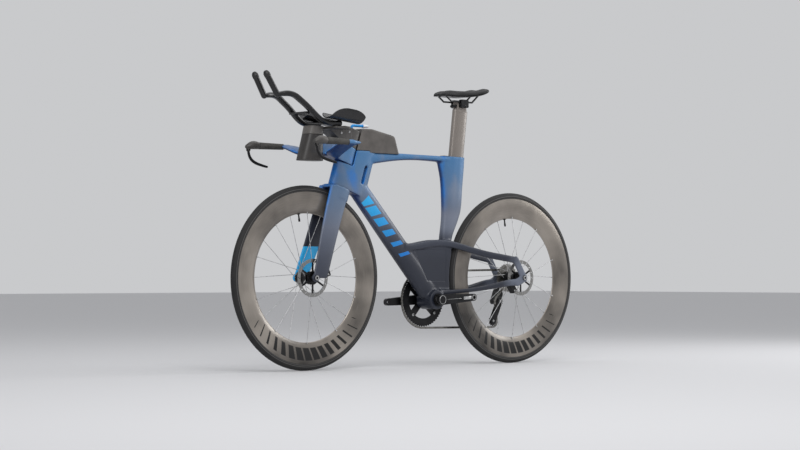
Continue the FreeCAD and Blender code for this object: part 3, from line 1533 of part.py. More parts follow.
def make_spindle():
    outer = crank_inner + crank_thickness
    return disc(bracket, spindle_radius, -outer, outer)


os.makedirs("parts", exist_ok=True)

dropouts = make_dropouts()
frame = make_frame(dropouts)
save("frame", frame.Solids)
save("rear_dropouts", dropouts)
save("storage_panels", [make_panel(1), make_panel(-1)])
save("headset_bearings", make_bearings())
save("bottom_bracket_cups", make_bracket_cups())
box, lid = make_box(frame)
save("top_tube_box", box.Solids)
save("top_box_lid", lid.Solids)
save("seat_clamp_cover", make_clamp_cover(frame).Solids)
save("rear_thru_axle", [make_thru_axle(rear_axle, rear_hub_half, dropout_thickness)])

save("seatpost", [make_seatpost()])
save("saddle_clamp", make_saddle_clamp())
shell = make_saddle_shell()
save("saddle_shell", [shell])
save("saddle_padding", [make_saddle_pad()])
save("saddle_rails", make_saddle_rails(shell))

fork = make_fork()
save("fork", fork)
save("front_thru_axle", [make_thru_axle(front_axle, blade_tip_inner, blade_tip_thickness)])
front_caliper, front_pads = make_caliper(front_axle, front_rotor_offset, front_caliper_angle, fork)
save("front_brake_caliper", front_caliper.Solids)
save("front_brake_pads", front_pads)
rear_caliper, rear_pads = make_caliper(rear_axle, rear_rotor_offset, rear_caliper_angle,
                                       [frame] + dropouts)
save("rear_brake_caliper", rear_caliper.Solids)
save("rear_brake_pads", rear_pads)

base_bar = make_base_bar()
save("base_bar", base_bar.Solids)
save("base_bar_grips", [make_grip(1, base_bar), make_grip(-1, base_bar)])
save("brake_hoods", [make_hood(1), make_hood(-1)])
save("brake_lever_left", [make_lever(1)])
save("brake_lever_right", [make_lever(-1)])

riser = make_riser()
arms = [make_arm(1), make_arm(-1)]
save("aerobar_riser", riser.Solids)
save("extension_left", [arms[0]])
save("extension_right", [arms[1]])
save("extension_bridge", [make_bridge(arms)])
save("extension_pods", [make_pod(1), make_pod(-1)])
save("shift_button_left", [make_button(1)])
save("shift_button_right", [make_button(-1)])
save("armrest_cups", [make_cup(1), make_cup(-1)])
save("armrest_pads", [make_rest_pad(1), make_rest_pad(-1)])
bottle, bottle_lid = make_bottle(base_bar)
save("hydration_bottle", bottle.Solids)
save("hydration_lid", bottle_lid.Solids)
save("drink_straw", make_straw(riser))

save_wheel("front", front_axle, front_hub_half, front_left_flange, front_right_flange,
           front_rotor_offset, hub_end_radius)
save_wheel("rear", rear_axle, rear_hub_half, rear_left_flange, rear_right_flange,
           rear_rotor_offset, hub_sleeve_radius)

save("cassette", [make_cassette()])
save("chain", make_chain())
save("chainring", [make_chainring()])
save("crank_arm_left", [make_left_crank()])
save("crank_arm_right", [make_right_crank()])
save("crank_spindle", [make_spindle()])
save("guide_pulley", [make_pulley(guide)])
save("tension_pulley", [make_pulley(tension)])
save("derailleur_cage", [make_cage()])
save("derailleur_hanger", make_hanger(frame, dropouts).Solids)
mech, battery = make_derailleur()
save("derailleur_body", [mech])
save("derailleur_battery", [battery])
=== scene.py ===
import json
import math

import bmesh
import bpy
from mathutils import Matrix, Vector
from mathutils.bvhtree import BVHTree


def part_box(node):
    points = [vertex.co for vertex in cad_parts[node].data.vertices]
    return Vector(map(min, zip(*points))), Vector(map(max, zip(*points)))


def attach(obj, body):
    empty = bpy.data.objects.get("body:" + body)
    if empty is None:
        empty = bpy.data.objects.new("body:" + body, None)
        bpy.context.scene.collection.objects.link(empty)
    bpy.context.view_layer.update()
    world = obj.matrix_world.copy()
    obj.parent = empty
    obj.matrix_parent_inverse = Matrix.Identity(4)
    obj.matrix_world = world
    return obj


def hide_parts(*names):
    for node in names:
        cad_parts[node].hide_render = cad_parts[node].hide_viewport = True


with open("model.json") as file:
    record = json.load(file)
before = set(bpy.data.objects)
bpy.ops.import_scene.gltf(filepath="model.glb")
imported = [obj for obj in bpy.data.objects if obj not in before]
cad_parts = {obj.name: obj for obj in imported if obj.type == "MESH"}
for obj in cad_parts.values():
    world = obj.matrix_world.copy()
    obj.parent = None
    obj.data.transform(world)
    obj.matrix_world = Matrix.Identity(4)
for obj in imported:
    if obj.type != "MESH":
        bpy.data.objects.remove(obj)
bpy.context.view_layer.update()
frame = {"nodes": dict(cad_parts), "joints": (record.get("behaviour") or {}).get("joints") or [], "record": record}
nodes = frame["nodes"]
joints = {joint["name"]: joint for joint in frame["joints"]}
scene = bpy.context.scene
across = Vector((0, 1, 0))
downward = Vector((0, 0, -1))
hubs = {side: Vector(joints[side + "_wheel_spin"]["pos_m"]) for side in ("front", "rear")}
bracket = Vector(joints["crank_spin"]["pos_m"])
steerAxis = Vector(joints["steering_turn"]["axis"])
steerPoint = Vector(joints["steering_turn"]["pos_m"])
postSlide = Vector(joints["seatpost_height"]["axis"])
print("frame loaded:", len(nodes), "nodes")

# mesh helpers
meshLook = {"weld": 1e-5, "turnWeld": 1e-6, "speck": 60}  # islands of fewer vertices are left out of a shell
screwLook = {"sides": 24, "wallShare": 0.8, "lipShare": 0.86, "socketShare": 0.52, "depthShare": 0.6}
ringLook = {"steps": 48, "edgeShare": 0.25, "notchEdgeShare": 0.2}


def srgb(red, green, blue):
    def linear(value):
        value = value / 255
        return value / 12.92 if value <= 0.04045 else ((value + 0.055) / 1.055) ** 2.4
    return (linear(red), linear(green), linear(blue), 1.0)


def addPiece(name, bm, material, body, replaced=(), sharpAngle=35):
    mesh = bpy.data.meshes.new(name)
    bm.to_mesh(mesh)
    bm.free()
    mesh.polygons.foreach_set("use_smooth", [True] * len(mesh.polygons))
    mesh.set_sharp_from_angle(angle=math.radians(sharpAngle))
    piece = bpy.data.objects.new(name, mesh)
    scene.collection.objects.link(piece)
    mesh.materials.append(material)
    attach(piece, body)
    if replaced:
        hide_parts(*replaced)
    return piece


def mergedCopy(*nodeNames):
    bm = bmesh.new()
    for nodeName in nodeNames:
        bm.from_mesh(nodes[nodeName].data)
    bmesh.ops.remove_doubles(bm, verts=bm.verts, dist=meshLook["weld"])
    return bm


def middle(nodeName):
    low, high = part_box(nodeName)
    return (low + high) / 2


def inBox(nodeName, shareX, shareZ):  # x and z at a share of a node's box
    low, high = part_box(nodeName)
    return low.x + (high.x - low.x) * shareX, low.z + (high.z - low.z) * shareZ


def searchTree(nodeName):
    bm = mergedCopy(nodeName)
    tree = BVHTree.FromBMesh(bm)
    bm.free()
    return tree


def islands(bm):  # vertices of each separate piece of a mesh
    left = set(bm.verts)
    found = []
    while left:
        front = [left.pop()]
        island = []
        while front:
            vert = front.pop()
            island.append(vert)
            near = [edge.other_vert(vert) for edge in vert.link_edges]
            fresh = [other for other in near if other in left]
            left.difference_update(fresh)
            front.extend(fresh)
        found.append(island)
    return found


def looseParts(nodeName):  # vertex places of each separate solid
    bm = mergedCopy(nodeName)
    parts = [[vert.co.copy() for vert in island] for island in islands(bm)]
    bm.free()
    return parts


def castShell(nodeNames, voxel, thicken=None):  # even quads over the outside of a merged copy
    bm = mergedCopy(*nodeNames)
    if thicken:
        thicken(bm)
    mesh = bpy.data.meshes.new("cast")
    bm.to_mesh(mesh)
    bm.free()
    holder = bpy.data.objects.new("cast", mesh)
    scene.collection.objects.link(holder)
    remesh = holder.modifiers.new("remesh", "REMESH")
    remesh.mode = "VOXEL"
    remesh.voxel_size = voxel
    cast = bpy.data.meshes.new_from_object(holder.evaluated_get(bpy.context.evaluated_depsgraph_get()))
    bpy.data.objects.remove(holder)
    bm = bmesh.new()
    bm.from_mesh(cast)
    bpy.data.meshes.remove(cast)
    specks = [vert for island in islands(bm) if len(island) < meshLook["speck"] for vert in island]
    bmesh.ops.delete(bm, geom=specks, context="VERTS")
    return bm


def relax(bm, verts, rounds, factor=0.5):
    for _ in range(rounds):
        bmesh.ops.smooth_vert(bm, verts=verts, factor=factor,
                              use_axis_x=True, use_axis_y=True, use_axis_z=True)


def hollowVerts(bm, limit, rings, keepOut):  # inner corners, widened by rings
    bm.normal_update()
    found = set()
    for vert in bm.verts:
        if keepOut and keepOut(vert.co):
            continue
        links = vert.link_edges
        rise = sum((edge.other_vert(vert).co - vert.co).normalized().dot(vert.normal) for edge in links)
        if rise / max(len(links), 1) > limit:
            found.add(vert)
    border = set(found)
    for _ in range(rings):
        border = {edge.other_vert(vert) for vert in border for edge in vert.link_edges} - found
        if keepOut:
            border = {vert for vert in border if not keepOut(vert.co)}
        found |= border
    return list(found)


def facing(spot, axis):  # turns +Z to an axis and moves it to a spot
    return Matrix.Translation(spot) @ axis.to_track_quat("Z", "Y").to_matrix().to_4x4()


def stamp(target, part, matrix):
    part.transform(matrix)
    holder = bpy.data.meshes.new("stamp")
    part.to_mesh(holder)
    part.free()
    target.from_mesh(holder)
    bpy.data.meshes.remove(holder)


def turned(profile, steps):  # (radius, height) points turned about Z
    bm = bmesh.new()
    verts = [bm.verts.new((radius, 0, height)) for radius, height in profile]
    edges = [bm.edges.new(pair) for pair in zip(verts, verts[1:])]
    bmesh.ops.spin(bm, geom=verts + edges, cent=(0, 0, 0), axis=(0, 0, 1), dvec=(0, 0, 0),
                   angle=math.tau, steps=steps, use_merge=True, use_duplicate=False)
    bmesh.ops.remove_doubles(bm, verts=bm.verts, dist=meshLook["turnWeld"])
    bmesh.ops.recalc_face_normals(bm, faces=bm.faces)
    return bm


def ofKind(geometry, kind):
    return [item for item in geometry if isinstance(item, kind)]


def socketScrew(radius, height):  # round head with a six-sided socket
    bm = bmesh.new()
    vertKind, edgeKind = bmesh.types.BMVert, bmesh.types.BMEdge
    base = bmesh.ops.create_circle(bm, segments=screwLook["sides"], radius=radius)["verts"]
    ring = list({edge for vert in base for edge in vert.link_edges})
    wall = bmesh.ops.extrude_edge_only(bm, edges=ring)["geom"]
    bmesh.ops.translate(bm, verts=ofKind(wall, vertKind), vec=(0, 0, height * screwLook["wallShare"]))
    chamfer = bmesh.ops.extrude_edge_only(bm, edges=ofKind(wall, edgeKind))["geom"]
    lip = ofKind(chamfer, vertKind)
    bmesh.ops.translate(bm, verts=lip, vec=(0, 0, height * (1 - screwLook["wallShare"])))
    bmesh.ops.scale(bm, verts=lip, vec=(screwLook["lipShare"], screwLook["lipShare"], 1))
    hexagon = bmesh.ops.create_circle(bm, segments=6, radius=radius * screwLook["socketShare"],
                                      matrix=Matrix.Translation((0, 0, height)))["verts"]
    hexEdges = list({edge for vert in hexagon for edge in vert.link_edges})
    bmesh.ops.bridge_loops(bm, edges=ofKind(chamfer, edgeKind) + hexEdges)
    sunk = bmesh.ops.extrude_edge_only(bm, edges=hexEdges)["geom"]
    bmesh.ops.translate(bm, verts=ofKind(sunk, vertKind), vec=(0, 0, -height * screwLook["depthShare"]))
    bmesh.ops.contextual_create(bm, geom=ofKind(sunk, edgeKind))
    bmesh.ops.contextual_create(bm, geom=ring)
    bmesh.ops.recalc_face_normals(bm, faces=bm.faces)
    return bm


def notchedRing(inner, outer, notch, teeth, height):  # flat ring with square notches round its edge
    bm = bmesh.new()
    edge = height * ringLook["notchEdgeShare"]
    loops = []
    for reach, depth, level in ((inner, 0, 0), (outer, notch, 0), (outer, notch, height - edge),
                                (outer - edge, notch, height), (inner, 0, height)):
        loop = bmesh.ops.create_circle(bm, segments=teeth * 4, radius=reach,
                                       matrix=Matrix.Translation((0, 0, level)))["verts"]
        cut = [vert for step, vert in enumerate(loop) if step % 4 > 1]
        share = 1 - depth / reach
        bmesh.ops.scale(bm, verts=cut, vec=(share, share, 1))
        loops.append(list({link for vert in loop for link in vert.link_edges}))
    for first, second in zip(loops, loops[1:] + loops[:1]):
        bmesh.ops.bridge_loops(bm, edges=first + second)
    bmesh.ops.recalc_face_normals(bm, faces=bm.faces)
    return bm


def flatRing(inner, outer, height):
    edge = height * ringLook["edgeShare"]
    return turned([(inner, 0), (inner, height - edge), (inner + edge, height), (outer - edge, height),
                   (outer, height - edge), (outer, 0), (inner, 0)], ringLook["steps"])


def roundedBlock(length, width, height, edge):
    bm = bmesh.new()
    bmesh.ops.create_cube(bm, size=1.0, matrix=Matrix.Diagonal((length, width, height, 1)))
    bmesh.ops.bevel(bm, geom=list(bm.edges), offset=edge, affect="EDGES", segments=2, profile=0.5,
                    material=-1)
    return bm


# material helpers
toneLook = {"stops": (0.3, 0.7), "span": (0.2, 0.8)}  # where a noise field turns from one end to the other


def newMaterial(name, **sockets):
    material = bpy.data.materials.new(name)
    material.use_nodes = True
    shader = material.node_tree.nodes["Principled BSDF"]
    for socket, value in sockets.items():
        shader.inputs[socket.replace("_", " ")].default_value = value
    return material


def addNode(kind, links, **settings):  # in the node tree of the first linked socket
    tree = next(value.id_data for value in links.values() if isinstance(value, bpy.types.NodeSocket))
    made = tree.nodes.new("ShaderNode" + kind)
    for name, value in settings.items():
        setattr(made, name, value)
    for socket, value in links.items():
        if isinstance(value, bpy.types.NodeSocket):
            tree.links.new(value, made.inputs[socket])
        else:
            made.inputs[socket].default_value = value
    return made


def toShader(socket, value):
    tree = value.id_data
    tree.links.new(value, tree.nodes["Principled BSDF"].inputs[socket])


def calc(operation, *values):
    return addNode("Math", dict(enumerate(values)), operation=operation).outputs[0]


def times(first, *others):
    for other in others:
        first = calc("MULTIPLY", first, other)
    return first


def objectPoint(material):
    return material.node_tree.nodes.new("ShaderNodeTexCoord").outputs["Object"]


def surfaceNormal(material):
    return material.node_tree.nodes.new("ShaderNodeTexCoord").outputs["Normal"]


def apart(vector):
    return addNode("SeparateXYZ", {0: vector}).outputs


def joined(x, y, z=0.0):
    return addNode("CombineXYZ", {0: x, 1: y, 2: z}).outputs[0]


def stretched(vector, scale, place=(0, 0, 0)):
    return addNode("Mapping", {"Vector": vector, "Location": place, "Scale": scale}).outputs[0]


def noise(vector, scale, detail=3.0, rough=0.5):
    links = {"Vector": vector, "Scale": scale, "Detail": detail, "Roughness": rough}
    return addNode("TexNoise", links).outputs[0]


def pores(point, scale):
    return addNode("TexVoronoi", {"Vector": point, "Scale": scale}).outputs["Distance"]


def ramp(factor, stops):
    made = addNode("ValToRGB", {"Fac": factor})
    points = made.color_ramp.elements
    while len(points) < len(stops):
        points.new(0.5)
    for point, (place, colour) in zip(points, stops):
        point.position = place
        point.color = colour
    return made.outputs["Color"]


def toned(field, tones, stops=toneLook["stops"]):  # dark to light over a field
    return ramp(field, [(place, srgb(*tone)) for place, tone in zip(stops, tones)])


def mixed(factor, first, second, blend="MIX"):
    made = addNode("Mix", {0: factor, 6: first, 7: second}, data_type="RGBA", blend_type=blend)
    return made.outputs[2]


def spanned(value, low, high, start=0.0, end=1.0):  # eased map from one span to another
    links = {"Value": value, "From Min": low, "From Max": high, "To Min": start, "To Max": end}
    return addNode("MapRange", links, interpolation_type="SMOOTHSTEP").outputs[0]


def roughened(field, low, high, span=toneLook["span"]):
    toShader("Roughness", spanned(field, *span, low, high))


def bumped(height, strength, distance):
    made = addNode("Bump", {"Height": height, "Strength": strength, "Distance": distance})
    toShader("Normal", made.outputs["Normal"])


def polar(material, centre):  # radius, turn and side about an axle
    x, y, z = apart(stretched(objectPoint(material), (1, 1, 1), -centre))
    squares = [calc("POWER", value, 2.0) for value in (x, z)]
    return calc("SQRT", calc("ADD", *squares)), calc("ARCTAN2", z, x), y


def along(point, start, direction):  # distance of a point along a line
    shifted = addNode("VectorMath", {0: point, 1: tuple(start)}, operation="SUBTRACT").outputs[0]
    made = addNode("VectorMath", {0: shifted, 1: tuple(direction)}, operation="DOT_PRODUCT")
    return made.outputs["Value"]


def within(value, low, high, soft):  # 1 inside a span, with soft ends
    rise = spanned(value, low - soft, low + soft)
    return times(rise, spanned(value, high - soft, high + soft, 1.0, 0.0))


def facingWay(material, direction, low, high):  # 1 where the surface looks along a direction
    made = addNode("VectorMath", {0: surfaceNormal(material), 1: direction}, operation="DOT_PRODUCT")
    return spanned(made.outputs["Value"], low, high)


# paint
paintLook = {
    "navy": srgb(36, 40, 52), "dusk": srgb(62, 67, 81), "slate": srgb(96, 103, 119),
    "steel": srgb(92, 116, 145), "blue": srgb(62, 112, 158), "azure": srgb(8, 112, 196),
    "deep": srgb(12, 44, 96), "dustAndSheen": srgb(124, 131, 147), "cyan": srgb(44, 172, 232),
    "stops": (("navy", 0.0), ("dusk", 0.22), ("slate", 0.48), ("steel", 0.76), ("blue", 1.0)),
    "cloud": (7.0, 4.0), "patches": (22.0, 2.0), "patchSpan": (0.36, 0.6, 0.45, 1.0),
    "flake": (2600.0, 1.0), "flakeRange": (0.92, 1.07), "gloss": 60.0, "glossRough": (0.36, 0.46),
    "peel": (700.0, 2.0), "peelBump": (0.03, 0.0004)}
# painted light by the way a face turns: a painted highlight on faces turned to the front, painted shade on faces
# turned down
paintedLightLook = {
    "front": {"way": (0.92, 0, 0.38), "facing": (0.16, 0.72), "share": (0.42, 0.8)},
    "under": {"way": (0.55, 0, -0.83), "facing": (0.28, 0.75), "share": (0.2, 0.6)}}
mistLook = {
    "azure": {"stretch": (1, 1, 0.6), "place": (0, 0, 0), "scale": 13.0, "span": (0.54, 0.70, 0.0, 0.75),
              "share": (0.55, 0.95)},
    "dustAndSheen": {"stretch": (1, 1, 0.5), "place": (0.4, 0.2, 0.1), "scale": 11.0, "span": (0.5, 0.7, 0.0, 0.55),
             "share": (0.45, 0.8)}}
heightLook = {  # lowest, highest, drift
    "frame": (0.38, 0.82, 0.05), "fork": (0.22, 0.86, 0.06), "bar": (0.52, 0.84, 0.04)}
dropoutHighlightLook = {"near": 0.045, "far": 0.125, "share": 0.6}
footLook = {"ahead": -0.11, "behind": -0.15, "low": 0.512, "high": 0.60, "soft": 0.03, "share": 0.6}
markLook = {"start": 0.075, "length": 0.30, "pitch": 0.052, "slant": 0.55, "halfWidth": 0.021,
            "headDrop": 0.03, "headBack": 0.06, "headRise": 0.01, "footAhead": 0.016, "footRise": 0.032,
            "gaps": (0.16, 0.72), "endEdge": 0.004, "sideEdge": 0.0006, "facing": 0.6}
legLook = {"cyan": (0.300, 0.455), "paintedLegShadow": (0.455, 0.64), "edge": 0.001, "inner": (0.0, 0.35),
           "lead": (0.4, 0.7)}


def paintedLightMask(material, share, look):
    return times(facingWay(material, look["way"], *look["facing"]), spanned(share, *look["share"]))


def newPaint(name, heights):  # dark foot to blue top, with a painted highlight on faces turned to the front, azure mist, painted sheen in grey-blue blotches and painted shade on faces turned down
    material = newMaterial(name, Metallic=0.12, Coat_Weight=0.2, Coat_Roughness=0.3, Specular_IOR_Level=0.4)
    lowest, highest, drift = heights
    point = objectPoint(material)
    cloud = calc("SUBTRACT", noise(point, *paintLook["cloud"]), 0.5)
    level = calc("ADD", apart(point)[2], times(cloud, drift))
    share = spanned(level, lowest, highest)
    body = ramp(share, [(place, paintLook[colour]) for colour, place in paintLook["stops"]])
    patches = spanned(noise(point, *paintLook["patches"]), *paintLook["patchSpan"])
    # painted highlight: azure on faces turned to the front, broken into patches
    paintedFrontHighlight = times(paintedLightMask(material, share, paintedLightLook["front"]), patches)
    body = mixed(paintedFrontHighlight, body, paintLook["azure"])
    # azure mist in random patches, then painted sheen in grey-blue blotches
    for colour, look in mistLook.items():
        field = noise(stretched(point, look["stretch"], look["place"]), look["scale"])
        cover = times(spanned(field, *look["span"]), spanned(share, *look["share"]))
        body = mixed(cover, body, paintLook[colour])
    # painted shade: deep blue on faces turned down and forward
    body = mixed(paintedLightMask(material, share, paintedLightLook["under"]), body, paintLook["deep"])
    return material, point, body


def finishPaint(material, point, body):
    flake = spanned(noise(point, *paintLook["flake"]), *toneLook["stops"], *paintLook["flakeRange"])
    grain = addNode("CombineColor", {0: flake, 1: flake, 2: flake}).outputs[0]
    toShader("Base Color", mixed(1.0, body, grain, "MULTIPLY"))
    roughened(noise(point, paintLook["gloss"]), *paintLook["glossRough"])
    bumped(noise(point, *paintLook["peel"]), *paintLook["peelBump"])
    return material


def fadingBars(material, point):  # slanted bars on the down tube that thin out towards the bracket
    headFoot = steerPoint - steerAxis * markLook["headDrop"]
    start = Vector((headFoot.x - markLook["headBack"], 0, headFoot.z + markLook["headRise"]))
    run = (bracket + Vector((markLook["footAhead"], 0, markLook["footRise"])) - start).normalized()
    lengthways = along(point, start, run)
    sideways = along(point, start, Vector((-run.z, 0, run.x)))
    leaning = calc("ADD", lengthways, times(sideways, markLook["slant"]))
    bars = calc("FRACT", calc("DIVIDE", leaning, markLook["pitch"]))
    share = calc("DIVIDE", calc("SUBTRACT", lengthways, markLook["start"]), markLook["length"])
    gap = spanned(share, 0.0, 1.0, *markLook["gaps"])
    side = calc("ABSOLUTE", apart(surfaceNormal(material))[1])
    shown = times(calc("GREATER_THAN", bars, gap), within(share, 0.0, 1.0, markLook["endEdge"]),
                  within(sideways, -markLook["halfWidth"], markLook["halfWidth"], markLook["sideEdge"]),
                  calc("GREATER_THAN", side, markLook["facing"]))
    return share, shown


def framePaint():
    material, point, body = newPaint("framePaint", heightLook["frame"])
    # painted highlight: paler grey-blue round the rear dropouts, fading out away from the rear hub
    fromHub = polar(material, hubs["rear"])[0]
    paintedDropoutHighlight = spanned(fromHub, dropoutHighlightLook["near"], dropoutHighlightLook["far"], dropoutHighlightLook["share"], 0.0)
    body = mixed(paintedDropoutHighlight, body, paintLook["dustAndSheen"])
    # a paler grey-blue patch at the seat tube's foot, growing paler towards the rear
    x, _, z = apart(point)
    foot = times(spanned(x, footLook["ahead"], footLook["behind"], 0.0, footLook["share"]),
                 within(z, footLook["low"], footLook["high"], footLook["soft"]))
    body = mixed(foot, body, paintLook["dustAndSheen"])
    share, shown = fadingBars(material, point)
    tint = mixed(share, paintLook["cyan"], paintLook["azure"])
    return finishPaint(material, point, mixed(shown, body, tint))


def forkPaint():  # the right leg's inner face has painted shadow above and cyan paint below
    material, point, body = newPaint("forkPaint", heightLook["fork"])
    _, y, z = apart(point)
    normal = apart(surfaceNormal(material))
    right = calc("LESS_THAN", y, 0.0)
    inner = times(right, spanned(normal[1], *legLook["inner"]))
    lead = times(right, spanned(normal[0], *legLook["lead"]))
    # painted shadow: navy on the right leg's inner face above the cyan band
    paintedLegShadow = times(inner, within(z, *legLook["paintedLegShadow"], legLook["edge"]))
    cyan = times(within(z, *legLook["cyan"], legLook["edge"]), calc("MAXIMUM", inner, lead))
    body = mixed(paintedLegShadow, body, paintLook["navy"])
    return finishPaint(material, point, mixed(cyan, body, paintLook["cyan"]))


def barPaint():
    return finishPaint(*newPaint("barPaint", heightLook["bar"]))


# wheels
rimLook = {  # lobes: count of light parts and the turn of the first
    "tones": ((54, 51, 48), (158, 150, 141)), "mark": srgb(24, 23, 23), "lip": srgb(168, 160, 152),
    "sheen": 0.085, "lobes": {"front": (2, 0), "rear": (1, 115)}, "turnScale": 5.0, "radiusScale": 700.0,
    "streakShare": 0.16, "cloth": 4.5, "clothShare": 0.84, "stops": (0.34, 0.66), "lipBand": (0.2362, 0.2380),
    "lipShare": 0.7, "edge": 0.0005, "markBand": (0.256, 0.302), "markSweep": 0.98, "bars": 15.0,
    "slant": 9.0, "gaps": (0.18, 0.9), "rough": (0.42, 0.30), "bump": (0.05, 0.0003)}
tyreLook = {
    "tones": ((26, 26, 27), (42, 41, 41)), "line": srgb(112, 110, 108), "lineShare": 0.7,
    "lines": ((0.3242, 0.3256, 0.0004), (0.3186, 0.3192, 0.0003)), "tread": (0.3285, 0.3315), "radius": 0.339,
    "pitch": 0.0042, "lean": 0.006, "dustAndSheen": (30.0, 5.0), "rough": (0.55, 0.75), "fine": (900.0, 2.0),
    "fineShare": 0.25, "bump": (0.35, 0.0006)}
rotorLook = {
    "carrier": srgb(28, 28, 30), "tones": ((112, 111, 109), (176, 175, 173)), "bandInner": 0.0565,
    "edge": 0.0004, "turnScale": 2.0, "radiusScale": 2600.0, "metallic": (0.6, 1.0), "rough": (0.26, 0.40),
    "bump": (0.05, 0.0002)}


def rimCarbon(name, centre, lobes, peak):
    material = newMaterial(name, Metallic=0.6, Coat_Weight=0.4, Coat_Roughness=0.15)
    radius, turn, side = polar(material, centre)
    lay = joined(times(turn, rimLook["turnScale"]), times(radius, rimLook["radiusScale"]), side)
    streak = noise(lay, 1.0, 3.0, 0.6)
    cloth = times(noise(objectPoint(material), rimLook["cloth"]), rimLook["clothShare"])
    # painted sheen: light and dark sectors round the wheel, added to the random cloth mottle
    sheen = calc("COSINE", times(calc("SUBTRACT", turn, math.radians(peak)), lobes))
    cloth = calc("ADD", cloth, times(sheen, rimLook["sheen"]))
    tone = calc("ADD", times(streak, rimLook["streakShare"]), cloth)
    body = toned(tone, rimLook["tones"], rimLook["stops"])
    lip = times(within(radius, *rimLook["lipBand"], rimLook["edge"]), rimLook["lipShare"])
    body = mixed(lip, body, rimLook["lip"])
    swing = calc("DIVIDE", calc("ADD", turn, math.pi / 2), rimLook["markSweep"])
    away = calc("ABSOLUTE", swing)
    bars = calc("FRACT", calc("ADD", times(swing, rimLook["bars"] / 2), times(radius, rimLook["slant"])))
    gap = spanned(away, 0.0, 1.0, *rimLook["gaps"])
    shown = times(calc("GREATER_THAN", bars, gap), within(radius, *rimLook["markBand"], rimLook["edge"]),
                  calc("LESS_THAN", away, 1.0))
    toShader("Base Color", mixed(shown, body, rimLook["mark"]))
    roughened(tone, *rimLook["rough"], toneLook["stops"])
    bumped(streak, *rimLook["bump"])
    return material


def tyreRubber(name, centre):  # file tread on the crown and two shoulder lines
    material = newMaterial(name, Specular_IOR_Level=0.35)
    radius, turn, side = polar(material, centre)
    point = objectPoint(material)
    arc = times(turn, tyreLook["radius"] / tyreLook["pitch"])
    lean = times(calc("ABSOLUTE", side), 1 / tyreLook["lean"])
    file = calc("PINGPONG", calc("ADD", arc, lean), 0.5)
    tread = spanned(radius, *tyreLook["tread"])
    shoulder = calc("MAXIMUM", *(within(radius, *line) for line in tyreLook["lines"]))
    dustAndSheen = noise(point, *tyreLook["dustAndSheen"])
    body = toned(dustAndSheen, tyreLook["tones"])
    lines = times(shoulder, tyreLook["lineShare"])
    toShader("Base Color", mixed(lines, body, tyreLook["line"]))
    roughened(dustAndSheen, *tyreLook["rough"])
    fine = times(noise(point, *tyreLook["fine"]), tyreLook["fineShare"])
    bumped(calc("ADD", times(file, tread), fine), *tyreLook["bump"])
    return material


def rotorSteel(name, centre):  # turned steel band on a dark carrier
    material = newMaterial(name)
    radius, turn, _ = polar(material, centre)
    lay = joined(times(turn, rotorLook["turnScale"]), times(radius, rotorLook["radiusScale"]))
    lathe = noise(lay, 1.0, 2.0)
    bandInner, edge = rotorLook["bandInner"], rotorLook["edge"]
    band = spanned(radius, bandInner - edge, bandInner + edge)
    steel = toned(lathe, rotorLook["tones"])
    toShader("Base Color", mixed(band, rotorLook["carrier"], steel))
    toShader("Metallic", spanned(band, 0.0, 1.0, *rotorLook["metallic"]))
    roughened(lathe, *rotorLook["rough"])
    bumped(lathe, *rotorLook["bump"])
    return material


# metals, mouldings and carbon
metalLook = {
    "blackAlloy": {"tones": ((22, 22, 24), (36, 36, 38)), "rough": 0.36, "metallic": 0.6},
    "bareAlloy": {"tones": ((168, 168, 168), (204, 204, 204)), "rough": 0.32, "stretch": (1, 30, 1)},
    "driveSteel": {"tones": ((92, 90, 87), (158, 156, 152)), "rough": 0.34, "scale": 120.0},
    "spokeSteel": {"tones": ((150, 150, 151), (206, 206, 207)), "rough": 0.3, "scale": 90.0, "metallic": 0.7},
    "padCompound": {"tones": ((70, 62, 55), (110, 100, 90)), "rough": 0.7, "scale": 300.0, "metallic": 0.3}}
mouldLook = {
    "hoodRubber": {"tones": ((60, 58, 56), (82, 79, 76)), "rough": 0.42},
    "darkPlastic": {"tones": ((30, 30, 31), (46, 45, 45)), "rough": 0.48},
    "boxPlastic": {"tones": ((74, 70, 67), (98, 93, 89)), "rough": 0.46},
    "bottlePlastic": {"tones": ((42, 40, 39), (58, 55, 53)), "rough": 0.40},
    "riserAlloy": {"tones": ((64, 62, 60), (84, 81, 79)), "rough": 0.38},
    "lidPlastic": {"tones": ((82, 79, 76), (106, 102, 98)), "rough": 0.44}}
carbonLook = {
    "postCarbon": {"tones": ((120, 113, 107), (134, 126, 120)), "stretch": (2200, 2200, 6), "rough": 0.34},
    "blackCarbon": {"tones": ((18, 18, 19), (30, 30, 32)), "stretch": (60, 1500, 1500), "rough": 0.24}}
grainLook = {
    "metal": {"detail": (5.0, 0.6), "roughShares": (0.8, 1.25), "fineScale": 25, "bump": (0.06, 0.0002)},
    "mould": {"tone": (24.0, 4.0), "stops": (0.25, 0.75), "roughSpread": 0.06, "pores": 900.0,
              "bump": (0.12, 0.0003)},
    "carbon": {"cloud": 14.0, "fibreShare": 0.6, "cloudShare": 0.4, "stops": (0.35, 0.65),
               "roughMore": 0.06, "roughLess": 0.04, "bump": (0.04, 0.0003)}}


def metal(name, tones, rough, scale=60.0, stretch=(1, 1, 1), metallic=1.0):
    look = grainLook["metal"]
    material = newMaterial(name, Metallic=metallic)
    point = stretched(objectPoint(material), stretch)
    tone = noise(point, scale, *look["detail"])
    toShader("Base Color", toned(tone, tones))
    roughened(tone, *(rough * share for share in look["roughShares"]))
    bumped(noise(point, scale * look["fineScale"], 2.0), *look["bump"])
    return material


def moulded(name, tones, rough):
    look = grainLook["mould"]
    material = newMaterial(name, Specular_IOR_Level=0.45)
    point = objectPoint(material)
    tone = noise(point, *look["tone"])
    toShader("Base Color", toned(tone, tones, look["stops"]))
    roughened(tone, rough - look["roughSpread"], rough + look["roughSpread"])
    bumped(pores(point, look["pores"]), *look["bump"])
    return material


